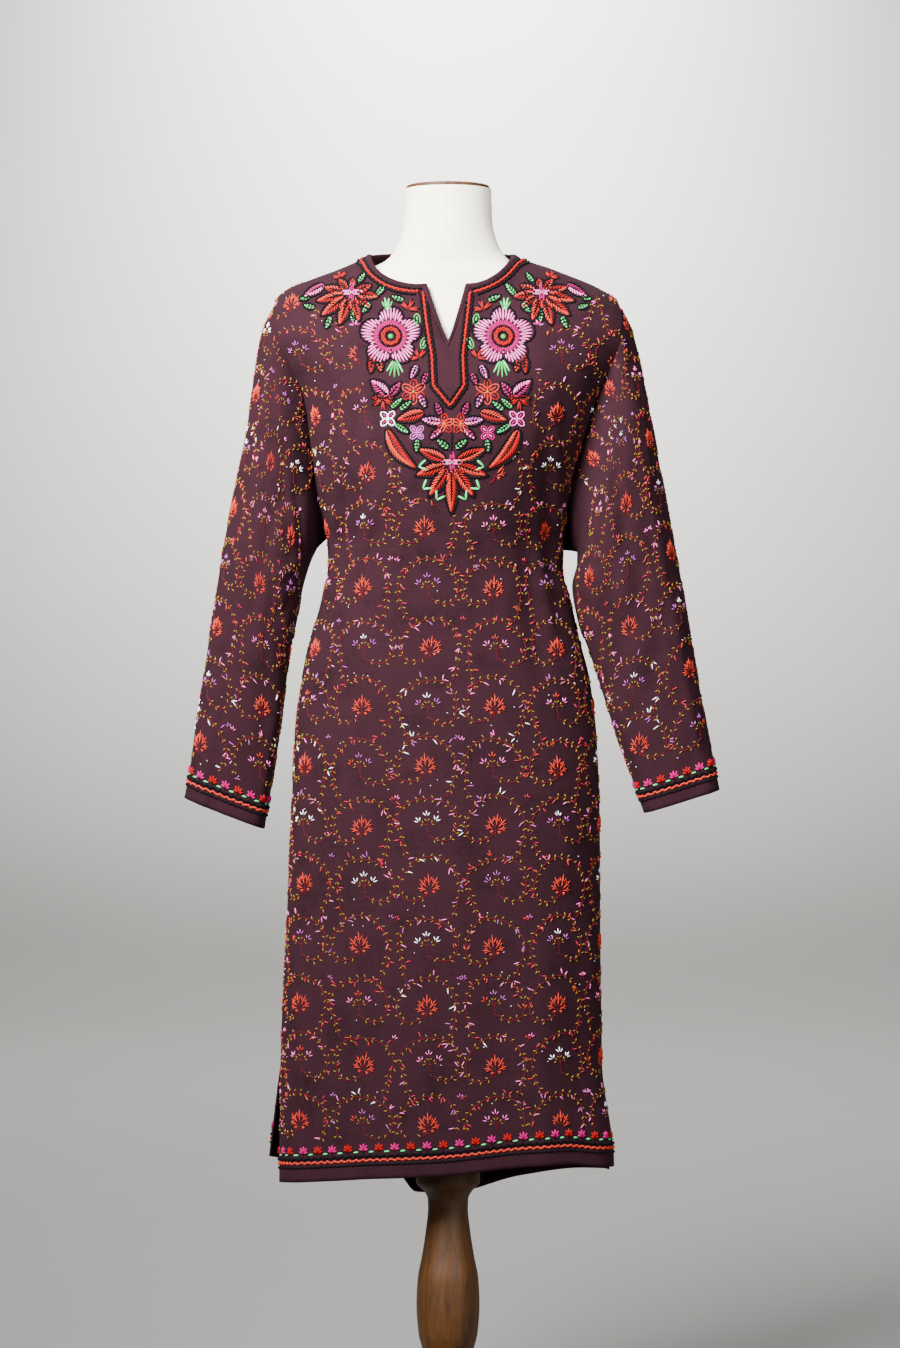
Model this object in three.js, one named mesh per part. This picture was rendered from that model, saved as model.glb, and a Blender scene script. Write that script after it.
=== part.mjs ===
// A knee-length wool pheran with set-in sleeves, worn by a limbless dress form on a turned wooden stand.
// Millimetres, +Z up, the wearer's front towards -Y, origin at the centre of the base's underside.
import * as THREE from 'three';
import { mergeVertices } from 'three/addons/utils/BufferGeometryUtils.js';

// Cloth
const CLOTH = 2.0; // wall of the wool flannel
const BINDING_CLOTH = 2.8; // wall of the turned neck edge
const SEAM_GAP = 0.6; // between two pieces along a seam
const BINDING_WIDTH = 5; // of the turned edge round the neck
const SEAM_SLOPE = 0.54; // fall of the shoulder seam beside the neck

// Heights of the body
const VENT_TOP = 475; // top of the two side vents
const ARMPIT_LEFT = 1106;
const ARMPIT_RIGHT = 1092;
const SLIT_BOTTOM = 1331; // point of the V slit
const NECK_FRONT = 1402; // top corners of the slit
const NECK_RIDGE = 1444; // neck opening on the shoulder seam
const NECK_BACK = 1452; // neck opening at the centre back

// Cells of the meshes
const SKIRT_ROWS = 4; // hem to the top of the vents
const SIDE_ROWS = 13; // top of the vents to the armpit
const ARMHOLE_ROWS = 12; // armpit to the shoulder tip
const SLIT_ROWS = 5; // of those, the ones beside the slit
const NECK_COLUMNS = 7; // in each half, slit or centre to the shoulder seam
const SHOULDER_COLUMNS = 5; // in each half, along the shoulder seam
const SLEEVE_ROWS = 15;
const ARC_STEPS = 36; // for measuring along a quarter of a section or of the neck
const MOST_STRETCH = 1.2; // of a wall at a sharp fold

// Level sections of the cloth body, from under the hem up to the neck. left and right are its half widths,
// front and back its depths, ridge the depth of its side seam, square the exponent of the section's corners.
const BODY = [
  { z: 290, left: 201, right: 199, front: 97, back: 112, ridge: 4, square: 2.25 },
  { z: 360, left: 201, right: 198, front: 97, back: 112, ridge: 4, square: 2.25 },
  { z: 475, left: 200, right: 184, front: 98, back: 113, ridge: 5, square: 2.25 },
  { z: 640, left: 193, right: 182, front: 99, back: 116, ridge: 6, square: 2.25 },
  { z: 780, left: 187, right: 181, front: 102, back: 120, ridge: 6, square: 2.25 },
  { z: 860, left: 183, right: 178, front: 103, back: 119, ridge: 6, square: 2.2 },
  { z: 935, left: 175, right: 169, front: 102, back: 109, ridge: 4, square: 2.15 },
  { z: 982, left: 164, right: 157, front: 102, back: 99, ridge: 3, square: 2.1 },
  { z: 1030, left: 151, right: 146, front: 104, back: 89, ridge: 2, square: 2.1 },
  { z: 1075, left: 143, right: 134, front: 109, back: 84, ridge: 3, square: 2.05 },
  { z: 1100, left: 144, right: 133, front: 114, back: 85, ridge: 4, square: 2 },
  { z: 1125, left: 149, right: 137.5, front: 119, back: 86, ridge: 4, square: 2.1 },
  { z: 1175, left: 161, right: 146, front: 130, back: 92, ridge: 4, square: 2.1 },
  { z: 1215, left: 167, right: 162, front: 134, back: 98, ridge: 4, square: 2.1 },
  { z: 1265, left: 174, right: 178, front: 128, back: 104, ridge: 4, square: 2.15 },
  { z: 1292, left: 183, right: 188, front: 119, back: 106, ridge: 4, square: 2.3 },
  { z: 1314, left: 195, right: 199, front: 110, back: 106, ridge: 4, square: 2.4 },
  { z: 1340, left: 203, right: 205, front: 99, back: 102, ridge: 5, square: 2.5 },
  { z: 1365, left: 206, right: 207, front: 86, back: 97, ridge: 6, square: 2.4 },
  { z: 1388, left: 206, right: 202, front: 74, back: 89, ridge: 6, square: 2.3 },
  { z: 1402, left: 191, right: 182, front: 67, back: 83, ridge: 6, square: 2.15 },
  { z: 1414, left: 162, right: 155, front: 63, back: 78, ridge: 5, square: 2.1 },
  { z: 1426, left: 130, right: 124, front: 60, back: 73, ridge: 4, square: 2 },
  { z: 1438, left: 103, right: 88, front: 58, back: 68, ridge: 4, square: 2 },
  { z: 1446, left: 91, right: 75, front: 57, back: 66, ridge: 4, square: 2 },
  { z: 1460, left: 76, right: 68, front: 56, back: 62, ridge: 4, square: 2 },
];

// Armhole seams, from the shoulder tip (turn 0) down to the armpit (turn 180). x is the distance from the
// centre, front and back the depths of the seam's two branches.
const ARMHOLE_LEFT = [
  { turn: 0, x: 206, z: 1388, front: -6, back: 6 },
  { turn: 25, x: 207, z: 1366, front: 36, back: 46 },
  { turn: 50, x: 202, z: 1336, front: 47, back: 56 },
  { turn: 72, x: 187, z: 1306, front: 42, back: 52 },
  { turn: 95, x: 171, z: 1268, front: 33, back: 42 },
  { turn: 125, x: 163, z: 1212, front: 28, back: 36 },
  { turn: 155, x: 155, z: 1152, front: 19, back: 26 },
  { turn: 180, x: 145, z: ARMPIT_LEFT, front: -4, back: 4 },
];
const ARMHOLE_RIGHT = [
  { turn: 0, x: 204, z: 1386, front: -6, back: 6 },
  { turn: 25, x: 207, z: 1364, front: 36, back: 46 },
  { turn: 50, x: 204, z: 1336, front: 48, back: 56 },
  { turn: 72, x: 192, z: 1306, front: 43, back: 52 },
  { turn: 95, x: 176, z: 1265, front: 34, back: 42 },
  { turn: 125, x: 158, z: 1210, front: 28, back: 36 },
  { turn: 155, x: 143, z: 1145, front: 18, back: 20 },
  { turn: 180, x: 138, z: ARMPIT_RIGHT, front: -4, back: 4 },
];

// Slanted rings of each sleeve below its armhole: the outer and the inner point of each, as distances from
// the centre and heights, and the depths of the cloth in front and behind. along is the share of the length.
const SLEEVE_LEFT = [
  { along: 0.07, outX: 222, outZ: 1350, inX: 159, inZ: 1090, front: 60, back: 66, square: 2.3 },
  { along: 0.15, outX: 231, outZ: 1292, inX: 167, inZ: 1072, front: 68, back: 71, square: 2.3 },
  { along: 0.27, outX: 243, outZ: 1220, inX: 175, inZ: 1045, front: 70, back: 71, square: 2.35 },
  { along: 0.39, outX: 258, outZ: 1145, inX: 182, inZ: 1006, front: 67, back: 67, square: 2.4 },
  { along: 0.5, outX: 270, outZ: 1078, inX: 190, inZ: 970, front: 62, back: 62, square: 2.5 },
  { along: 0.62, outX: 283, outZ: 1000, inX: 196, inZ: 922, front: 56, back: 56, square: 2.6 },
  { along: 0.76, outX: 295, outZ: 915, inX: 203, inZ: 868, front: 50, back: 50, square: 2.8 },
  { along: 0.89, outX: 306, outZ: 845, inX: 212, inZ: 812, front: 44, back: 44, square: 3 },
  { along: 1, outX: 315, outZ: 793, inX: 221, inZ: 756, front: 40, back: 40, square: 3.1 },
];
const SLEEVE_RIGHT = [
  { along: 0.07, outX: 221, outZ: 1347, inX: 156, inZ: 1087, front: 60, back: 66, square: 2.3 },
  { along: 0.15, outX: 234, outZ: 1290, inX: 156, inZ: 1074, front: 68, back: 71, square: 2.3 },
  { along: 0.27, outX: 248, outZ: 1220, inX: 150, inZ: 1046, front: 70, back: 71, square: 2.35 },
  { along: 0.39, outX: 261, outZ: 1145, inX: 156, inZ: 1008, front: 67, back: 67, square: 2.4 },
  { along: 0.5, outX: 274, outZ: 1078, inX: 169, inZ: 972, front: 62, back: 62, square: 2.5 },
  { along: 0.62, outX: 288, outZ: 1000, inX: 184, inZ: 926, front: 56, back: 56, square: 2.6 },
  { along: 0.76, outX: 301, outZ: 922, inX: 200, inZ: 876, front: 50, back: 50, square: 2.8 },
  { along: 0.89, outX: 314, outZ: 852, inX: 219, inZ: 824, front: 44, back: 44, square: 3 },
  { along: 1, outX: 325, outZ: 803, inX: 236, inZ: 775, front: 40, back: 40, square: 3.1 },
];

// Lower edges, against the distance along the cloth from the centre line (left is negative).
const HEM_FRONT = [
  { s: -260, z: 331 }, { s: -200, z: 337 }, { s: -100, z: 346 }, { s: 0, z: 352 },
  { s: 100, z: 361 }, { s: 140, z: 362 }, { s: 190, z: 356 }, { s: 260, z: 350 },
];
const HEM_BACK = [
  { s: -260, z: 361 }, { s: -200, z: 351 }, { s: -120, z: 337 }, { s: -62, z: 328 }, { s: -40, z: 305 },
  { s: 0, z: 303 }, { s: 90, z: 326 }, { s: 160, z: 338 }, { s: 260, z: 346 },
];
// How much further the vent's edges stand out sideways at the hem than at the top of the vent.
const VENT_FLARE = { front: { left: 0, right: 0, towards: -12 }, back: { left: 16, right: -5, towards: 13 } };

// Neck opening seen from the front, from the centre to the shoulder seam; x is the distance from the centre.
const NECK_LINE = {
  frontLeft: [{ x: 25, z: NECK_FRONT }, { x: 42, z: 1402 }, { x: 60, z: 1406 }, { x: 76, z: 1414 },
    { x: 87, z: 1425 }, { x: 94, z: NECK_RIDGE }],
  frontRight: [{ x: 21, z: NECK_FRONT }, { x: 36, z: 1404 }, { x: 50, z: 1410 }, { x: 61, z: 1418 },
    { x: 70, z: 1428 }, { x: 78, z: NECK_RIDGE }],
  backLeft: [{ x: 0, z: NECK_BACK }, { x: 45, z: 1451 }, { x: 76, z: 1448 }, { x: 94, z: NECK_RIDGE }],
  backRight: [{ x: 0, z: NECK_BACK }, { x: 40, z: 1451 }, { x: 64, z: 1448 }, { x: 78, z: NECK_RIDGE }],
};

// The largest folds of the body. Each runs from one height and distance along the cloth to another, and fades
// at both ends; depth is outwards, so a trough's is negative, and width is half the fold's.
const FOLDS = [
  { face: 'front', high: 1205, highS: -96, low: 960, lowS: -178, depth: -5, width: 17 },
  { face: 'front', high: 1165, highS: -138, low: 1010, lowS: -166, depth: -4, width: 12 },
  { face: 'front', high: 1250, highS: 118, low: 1000, lowS: 150, depth: -6, width: 15 },
  { face: 'front', high: 1160, highS: 98, low: 900, lowS: 112, depth: -4, width: 16 },
  { face: 'front', high: 1010, highS: -40, low: 640, lowS: -74, depth: -3, width: 24 },
  { face: 'front', high: 940, highS: -192, low: 240, lowS: -190, depth: 4, width: 14 },
  { face: 'front', high: 800, highS: -88, low: 230, lowS: -104, depth: -4, width: 30 },
  { face: 'front', high: 860, highS: 52, low: 230, lowS: 66, depth: -4, width: 28 },
  { face: 'front', high: 700, highS: 160, low: 230, lowS: 168, depth: -4, width: 24 },
  { face: 'back', high: 1230, highS: -62, low: 900, lowS: -96, depth: -5, width: 20 },
  { face: 'back', high: 1240, highS: 58, low: 900, lowS: 88, depth: -5, width: 22 },
  { face: 'back', high: 1050, highS: 4, low: 560, lowS: -8, depth: -4, width: 26 },
  { face: 'back', high: 900, highS: -118, low: 210, lowS: -132, depth: -6, width: 30 },
  { face: 'back', high: 720, highS: -44, low: 190, lowS: -52, depth: -7, width: 20 },
  { face: 'back', high: 900, highS: 96, low: 210, lowS: 108, depth: -6, width: 32 },
  { face: 'back', high: 860, highS: 188, low: 210, lowS: 190, depth: -4, width: 22 },
];

// Dress form: level sections of the torso and neck.
const FORM = [
  { z: 700, half: 140, front: 78, back: 84, square: 2.2 },
  { z: 706, half: 150, front: 85, back: 92, square: 2.2 },
  { z: 730, half: 161, front: 90, back: 101, square: 2.2 },
  { z: 780, half: 168, front: 94, back: 109, square: 2.15 },
  { z: 850, half: 167, front: 95, back: 109, square: 2.1 },
  { z: 920, half: 154, front: 94, back: 99, square: 2.05 },
  { z: 985, half: 131, front: 90, back: 84, square: 2 },
  { z: 1040, half: 121, front: 90, back: 76, square: 2 },
  { z: 1090, half: 122, front: 97, back: 76, square: 2 },
  { z: 1140, half: 128, front: 112, back: 80, square: 2.1 },
  { z: 1185, half: 138, front: 127, back: 87, square: 2.25 },
  { z: 1215, half: 145, front: 130.5, back: 91, square: 2.3 },
  { z: 1260, half: 150, front: 121, back: 96, square: 2.3 },
  { z: 1300, half: 158, front: 106, back: 98, square: 2.3 },
  { z: 1335, half: 176, front: 91, back: 95, square: 2.3 },
  { z: 1362, half: 190, front: 78, back: 90, square: 2.2 },
  { z: 1384, half: 191, front: 67, back: 82, square: 2.1 },
  { z: 1399, half: 172, front: 61, back: 76, square: 2 },
  { z: 1411, half: 146, front: 57, back: 71, square: 2 },
  { z: 1423, half: 112, front: 52, back: 64, square: 2 },
  { z: 1433, half: 80, front: 49, back: 58, square: 2 },
  { z: 1443, half: 68, front: 49, back: 55, square: 2 },
  { z: 1459, half: 59, front: 49.5, back: 53, square: 2 },
  { z: 1482, half: 53.5, front: 49.5, back: 51, square: 2 },
  { z: 1522, half: 52, front: 50, back: 50, square: 2 },
];
const FORM_SIDES = 40;
const FORM_ROWS = 30;

// Stand. Radii and heights of the turned post, from the foot up to its top disc.
const POST_PROFILE = [
  { z: 132, r: 31 }, { z: 150, r: 35.5 }, { z: 185, r: 38 }, { z: 215, r: 36.5 }, { z: 245, r: 31 },
  { z: 275, r: 26.5 }, { z: 300, r: 24 }, { z: 312, r: 24.5 }, { z: 321, r: 29 }, { z: 330, r: 37.5 },
  { z: 333, r: 38.5 }, { z: 347, r: 38.5 },
];
const FOOT_PROFILE = [
  { z: 30.3, r: 52 }, { z: 40, r: 52 }, { z: 47, r: 46 }, { z: 58, r: 36 }, { z: 80, r: 30 },
  { z: 110, r: 28.5 }, { z: 131.7, r: 31 },
];
const BASE_PROFILE = [{ z: 0, r: 172 }, { z: 20, r: 172 }, { z: 27, r: 168 }, { z: 30, r: 160 }];
const POLE_RADIUS = 12;
const PLATE = { radius: 70, thickness: 14 }; // round board under the torso
const CAP = { radius: 50, thickness: 4 }; // closes the neck
const TOUCH_GAP = 0.3; // between two hard pieces that meet
const TURNED_SIDES = 36;

const WOOL = { color: 0x573a48, roughness: 0.95, metalness: 0 };
const WOOL_EDGE = { color: 0x4c2f3d, roughness: 0.95, metalness: 0 };
const COVER = { color: 0xf2ecdc, roughness: 0.9, metalness: 0 };
const WOOD = { color: 0x8a6238, roughness: 0.45, metalness: 0 };
const DARK_WOOD = { color: 0x7b4a24, roughness: 0.45, metalness: 0 };
const STEEL = { color: 0xb9bcc0, roughness: 0.3, metalness: 1 };

const toRadians = THREE.MathUtils.degToRad;
const lerp = THREE.MathUtils.lerp;

// A smooth column of a table that never swings past its own rows.
function column(table, key, name, at) {
  const last = table.length - 1;
  if (at <= table[0][key]) return table[0][name];
  if (at >= table[last][key]) return table[last][name];
  let i = 0;
  while (at > table[i + 1][key]) i++;
  const slope = (k) => (table[k + 1][name] - table[k][name]) / (table[k + 1][key] - table[k][key]);
  const tangent = (k) => {
    if (k === 0) return slope(0);
    if (k === last) return slope(last - 1);
    const before = slope(k - 1);
    const after = slope(k);
    return before * after <= 0 ? 0 : (2 * before * after) / (before + after);
  };
  const width = table[i + 1][key] - table[i][key];
  const t = (at - table[i][key]) / width;
  const startPull = t * (1 - t) * (1 - t) * tangent(i);
  const endPull = t * t * (t - 1) * tangent(i + 1);
  const rise = t * t * (3 - 2 * t);
  return lerp(table[i][name], table[i + 1][name], rise) + width * (startPull + endPull);
}

const power = (value, exponent) => Math.sign(value) * Math.abs(value) ** exponent;

// The quarter section of the body at one height, as points and the lengths up to them from the centre line.
function quarter(face, right, z) {
  const side = right ? 'right' : 'left';
  const vent = Math.max(0, (VENT_TOP - z) / (VENT_TOP - 340));
  const half = column(BODY, 'z', side, z) + VENT_FLARE[face][side] * vent;
  const ridge = column(BODY, 'z', 'ridge', z) + VENT_FLARE[face].towards * vent;
  const depth = column(BODY, 'z', face, z);
  const exponent = 2 / column(BODY, 'z', 'square', z);
  const far = face === 'front' ? -depth : depth;
  const points = [];
  let length = 0;
  for (let k = 0; k <= ARC_STEPS; k++) {
    const angle = (k / ARC_STEPS) * (Math.PI / 2);
    const x = half * power(Math.sin(angle), exponent);
    const y = ridge + (far - ridge) * power(Math.cos(angle), exponent);
    if (k) length += Math.hypot(x - points[k - 1].x, y - points[k - 1].y);
    points.push({ x, y, length });
  }
  return points;
}

const girth = (face, right, z) => quarter(face, right, z)[ARC_STEPS].length;

// How far the folds move the cloth outwards at a distance along it (left is negative) and a height.
function foldDepth(face, s, z, sideSeam) {
  let depth = 0;
  for (const fold of FOLDS) {
    const rise = (z - fold.low) / (fold.high - fold.low);
    if (fold.face !== face || rise <= 0 || rise >= 1) continue;
    const off = (s - lerp(fold.lowS, fold.highS, rise)) / fold.width;
    depth += fold.depth * Math.sin(Math.PI * rise) ** 0.7 * Math.exp(-off * off);
  }
  return depth * Math.max(0, 1 - (Math.abs(s) / sideSeam) ** 8);
}

// The point of the body that lies s along the cloth from the centre line, at height z.
function bodyPoint(face, s, z) {
  const right = s >= 0;
  const points = quarter(face, right, z);
  const at = Math.min(Math.abs(s), points[ARC_STEPS].length);
  let k = 1;
  while (k < ARC_STEPS && points[k].length < at) k++;
  const run = points[k].length - points[k - 1].length;
  const t = (at - points[k - 1].length) / run;
  const fold = foldDepth(face, s, z, points[ARC_STEPS].length);
  const outX = Math.abs(points[k].y - points[k - 1].y) / run;
  const outY = ((points[k].x - points[k - 1].x) / run) * (face === 'front' ? -1 : 1);
  const x = lerp(points[k - 1].x, points[k].x, t) + outX * fold;
  return new THREE.Vector3(right ? x : -x, lerp(points[k - 1].y, points[k].y, t) + outY * fold, z);
}

// How far along the cloth from the centre line the section comes nearest to a distance x and depth y.
function nearestAlong(face, right, z, x, y) {
  const points = quarter(face, right, z);
  let best = points[0];
  for (const p of points) if (Math.hypot(p.x - x, p.y - y) < Math.hypot(best.x - x, best.y - y)) best = p;
  return best.length;
}

// How far along the cloth the section reaches a distance x from the centre.
function alongAtX(face, right, z, x) {
  const points = quarter(face, right, z);
  let k = 1;
  while (k < ARC_STEPS && points[k].x < x) k++;
  const t = Math.min(1, (x - points[k - 1].x) / (points[k].x - points[k - 1].x));
  return lerp(points[k - 1].length, points[k].length, t);
}

// A point of an armhole seam: turn 0 is the shoulder tip, 180 the armpit.
function armholePoint(right, face, turn) {
  const table = right ? ARMHOLE_RIGHT : ARMHOLE_LEFT;
  const depth = column(table, 'turn', face, turn);
  const x = column(table, 'turn', 'x', turn);
  return new THREE.Vector3(right ? x : -x, face === 'front' ? -depth : depth, column(table, 'turn', 'z', turn));
}

// The turn of the armhole's row, counted from the shoulder tip; the rows are closer together near the tip.
const armholeTurn = (row) => 180 * (row / ARMHOLE_ROWS) ** 1.25;

// The neck opening of one quarter, sampled finely from the centre to the shoulder seam, with the length up to
// each sample.
function neckSamples(face, right) {
  const line = NECK_LINE[face + (right ? 'Right' : 'Left')].map((p) => new THREE.Vector3(p.x, p.z, 0));
  const curve = new THREE.CatmullRomCurve3(line, false, 'centripetal');
  const samples = [];
  for (let k = 0; k <= ARC_STEPS; k++) {
    const flat = curve.getPointAt(1 - (1 - k / ARC_STEPS) ** 2);
    const s = k === ARC_STEPS ? girth(face, right, flat.y) : alongAtX(face, right, flat.y, flat.x);
    const at = bodyPoint(face, right ? s : -s, flat.y);
    const before = samples[k - 1];
    samples.push({ s, z: flat.y, at, length: before ? before.length + at.distanceTo(before.at) : 0 });
  }
  return samples;
}

const NECKS = {
  front: { left: neckSamples('front', false), right: neckSamples('front', true) },
  back: { left: neckSamples('back', false), right: neckSamples('back', true) },
};

// The neck opening from the centre (t 0) to the shoulder seam (t 1), moved out from the opening by a width,
// as a distance along the cloth and a height.
function neckLine(face, right, t, width) {
  const samples = NECKS[face][right ? 'right' : 'left'];
  if (t === 1) {
    const z = NECK_RIDGE - width * SEAM_SLOPE;
    return { s: girth(face, right, z), z };
  }
  const length = t * samples[ARC_STEPS].length;
  let k = 1;
  while (samples[k].length < length) k++;
  const share = (length - samples[k - 1].length) / (samples[k].length - samples[k - 1].length);
  const run = new THREE.Vector2(samples[k].s - samples[k - 1].s, samples[k].z - samples[k - 1].z).normalize();
  const out = {
    s: lerp(samples[k - 1].s, samples[k].s, share) + run.y * width,
    z: lerp(samples[k - 1].z, samples[k].z, share) - run.x * width,
  };
  if (t === 0) out.s = face === 'front' ? samples[0].s + width : 0;
  return out;
}

// The slit's edge at height z, moved out by a width: it runs from the V's point to its top corner.
function slitEdge(right, z, width) {
  const corner = neckLine('front', right, 0, 0).s;
  const drop = width * 1.6;
  const foot = SLIT_BOTTOM - drop;
  const share = Math.max(0, (z - foot) / (NECK_FRONT - width - foot));
  return (corner + width) * share ** 0.9;
}

// How far up the slit one of its rows lies; they are closer together towards the neck.
const slitShare = (row) => 1 - (1 - row / SLIT_ROWS) ** 1.3;

// One half of a body panel, as rows of cloth positions from the hem up, each from the centre line out to the
// side, with the 3-D point of each. columns are shared by the hem and the neck line with the shoulder seam.
function halfPanel(face, right) {
  const armpit = right ? ARMPIT_RIGHT : ARMPIT_LEFT;
  const hem = face === 'front' ? HEM_FRONT : HEM_BACK;
  const columns = NECK_COLUMNS + SHOULDER_COLUMNS;
  const rows = SKIRT_ROWS + SIDE_ROWS + ARMHOLE_ROWS;
  const sign = right ? 1 : -1;
  const hemAt = (s) => column(hem, 's', 'z', sign * s);
  const hemHalf = girth(face, right, hemAt(240));
  const slitFoot = SLIT_BOTTOM - BINDING_WIDTH * 1.6;
  const centreTop = neckLine(face, right, 0, BINDING_WIDTH);
  const tip = armholePoint(right, face, 0);
  const neckEnd = neckLine(face, right, 1, BINDING_WIDTH);

  const top = [];
  for (let i = 0; i <= NECK_COLUMNS; i++) top.push(neckLine(face, right, i / NECK_COLUMNS, BINDING_WIDTH));
  for (let i = 1; i <= SHOULDER_COLUMNS; i++) {
    const z = lerp(neckEnd.z, tip.z, i / SHOULDER_COLUMNS);
    top.push({ s: girth(face, right, z), z });
  }
  const inner = [];
  const outer = [];
  const pulls = [];
  for (let j = 0; j <= rows; j++) {
    let centreZ;
    let sideZ;
    const above = j - SKIRT_ROWS - SIDE_ROWS;
    const slitStart = ARMHOLE_ROWS - SLIT_ROWS;
    if (j <= SKIRT_ROWS) {
      centreZ = lerp(hemAt(0), VENT_TOP, j / SKIRT_ROWS);
      sideZ = lerp(hemAt(hemHalf), VENT_TOP, j / SKIRT_ROWS);
    } else if (above <= 0) {
      centreZ = lerp(VENT_TOP, (ARMPIT_LEFT + ARMPIT_RIGHT) / 2, (j - SKIRT_ROWS) / SIDE_ROWS);
      sideZ = lerp(VENT_TOP, armpit, (j - SKIRT_ROWS) / SIDE_ROWS);
    } else if (face === 'back') {
      const rise = 1 - (1 - above / ARMHOLE_ROWS) ** 1.4;
      centreZ = lerp((ARMPIT_LEFT + ARMPIT_RIGHT) / 2, centreTop.z, rise);
    } else if (above <= slitStart) {
      centreZ = lerp((ARMPIT_LEFT + ARMPIT_RIGHT) / 2, slitFoot, above / slitStart);
    } else {
      centreZ = lerp(slitFoot, centreTop.z, slitShare(above - slitStart));
    }
    const inSlit = face === 'front' && above > slitStart;
    inner.push({ s: inSlit ? slitEdge(right, centreZ, BINDING_WIDTH) : 0, z: centreZ });
    if (above > 0) {
      const p = armholePoint(right, face, armholeTurn(ARMHOLE_ROWS - above));
      const s = above === ARMHOLE_ROWS ? girth(face, right, p.z) : nearestAlong(face, right, p.z, Math.abs(p.x), p.y);
      outer.push({ s, z: p.z });
      pulls.push(p.sub(bodyPoint(face, sign * s, p.z)));
    } else {
      const s = girth(face, right, sideZ);
      outer.push({ s, z: sideZ });
      pulls.push(above === 0 ? armholePoint(right, face, 180).sub(bodyPoint(face, sign * s, sideZ)) : null);
    }
  }
  const grid = [];
  for (let j = 0; j <= rows; j++) {
    const v = j / rows;
    const row = [];
    for (let i = 0; i <= columns; i++) {
      const u = i / columns;
      const foot = { s: hemHalf * u, z: hemAt(hemHalf * u) };
      const mix = (key) =>
        (1 - u) * inner[j][key] + u * outer[j][key] + (1 - v) * foot[key] + v * top[i][key] -
        ((1 - u) * (1 - v) * inner[0][key] + u * (1 - v) * outer[0][key] +
          (1 - u) * v * inner[rows][key] + u * v * outer[rows][key]);
      let at = { s: mix('s'), z: mix('z') };
      if (i === 0) at = inner[j];
      if (j === rows) at = top[i];
      if (i === columns) at = outer[j];
      const p = bodyPoint(face, sign * at.s, at.z);
      if (pulls[j] && j < rows) p.addScaledVector(pulls[j], Math.max(0, (u - 0.45) / 0.55) ** 2);
      row.push(p);
    }
    grid.push(row);
  }
  return grid;
}

// Cells between two rows of points, wound so that the outside is on the viewer's side. Each starts at a
// corner of its shorter diagonal, where it is folded into two triangles.
function gridCells(grid, flip) {
  const cells = [];
  for (let j = 0; j + 1 < grid.length; j++) {
    for (let i = 0; i + 1 < grid[j].length; i++) {
      const cell = [grid[j][i], grid[j][i + 1], grid[j + 1][i + 1], grid[j + 1][i]];
      if (flip) cell.reverse();
      if (cell[1].distanceTo(cell[3]) < cell[0].distanceTo(cell[2])) cell.push(cell.shift());
      cells.push(cell);
    }
  }
  return cells;
}

const bodyCells = (face) => [
  ...gridCells(halfPanel(face, false), face === 'front'),
  ...gridCells(halfPanel(face, true), face === 'back'),
];

// One ring of a sleeve as points round it: turn 0 is its outer line, 90 its front, 180 its inner line.
function sleeveRing(row, right, turn) {
  const angle = toRadians(turn);
  const exponent = 2 / row.square;
  const across = power(Math.cos(angle), exponent);
  const deep = power(Math.sin(angle), exponent);
  const x = lerp(row.inX, row.outX, (across + 1) / 2);
  const z = lerp(row.inZ, row.outZ, (across + 1) / 2);
  return new THREE.Vector3(right ? x : -x, -deep * (deep > 0 ? row.front : row.back), z);
}

function sleeveGrid(right) {
  const table = right ? SLEEVE_RIGHT : SLEEVE_LEFT;
  const around = 2 * ARMHOLE_ROWS;
  const grid = Array.from({ length: SLEEVE_ROWS + 1 }, () => []);
  for (let i = 0; i <= around; i++) {
    const inFront = i <= ARMHOLE_ROWS;
    const halfTurn = armholeTurn(inFront ? i : around - i);
    const turn = inFront ? halfTurn : 360 - halfTurn;
    const seam = armholePoint(right, inFront ? 'front' : 'back', halfTurn);
    const line = [{ along: 0, x: seam.x, y: seam.y, z: seam.z }];
    for (const row of table) {
      const p = sleeveRing(row, right, turn % 360);
      line.push({ along: row.along, x: p.x, y: p.y, z: p.z });
    }
    for (let j = 0; j <= SLEEVE_ROWS; j++) {
      const along = (j / SLEEVE_ROWS) ** 1.25;
      grid[j].push(new THREE.Vector3(...['x', 'y', 'z'].map((name) => column(line, 'along', name, along))));
    }
  }
  return grid;
}

const sleeveCells = (right) => gridCells(sleeveGrid(right), !right);

// The turned neck edge: a strip beyond the panels' neck line, round the neck and down both sides of the slit.
function bindingCells() {
  const atCloth = (face, right, p) => bodyPoint(face, right ? p.s : -p.s, p.z);
  const strip = [];
  const addSlit = (right) => {
    const stops = [];
    const outFoot = SLIT_BOTTOM - BINDING_WIDTH * 1.6;
    const outTop = neckLine('front', right, 0, BINDING_WIDTH).z;
    for (let j = 0; j < SLIT_ROWS; j++) {
      const share = slitShare(j);
      const outZ = lerp(outFoot, outTop, share);
      const inZ = lerp(SLIT_BOTTOM, NECK_FRONT, share);
      stops.push([
        atCloth('front', right, { s: slitEdge(right, outZ, BINDING_WIDTH), z: outZ }),
        atCloth('front', right, { s: slitEdge(right, inZ, 0) * (j ? 1 : 0), z: inZ }),
      ]);
    }
    return stops;
  };
  const addNeck = (face, right) => {
    const stops = [];
    for (let i = 0; i <= NECK_COLUMNS; i++) {
      const t = i / NECK_COLUMNS;
      stops.push([
        atCloth(face, right, neckLine(face, right, t, BINDING_WIDTH)),
        atCloth(face, right, neckLine(face, right, t, 0)),
      ]);
    }
    return stops;
  };
  strip.push(...addSlit(true), ...addNeck('front', true));
  strip.push(...addNeck('back', true).reverse().slice(1));
  strip.push(...addNeck('back', false).slice(1));
  strip.push(...addNeck('front', false).reverse().slice(1));
  strip.push(...addSlit(false).reverse());
  return gridCells([strip.map((p) => p[0]), strip.map((p) => p[1])], false);
}

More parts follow.
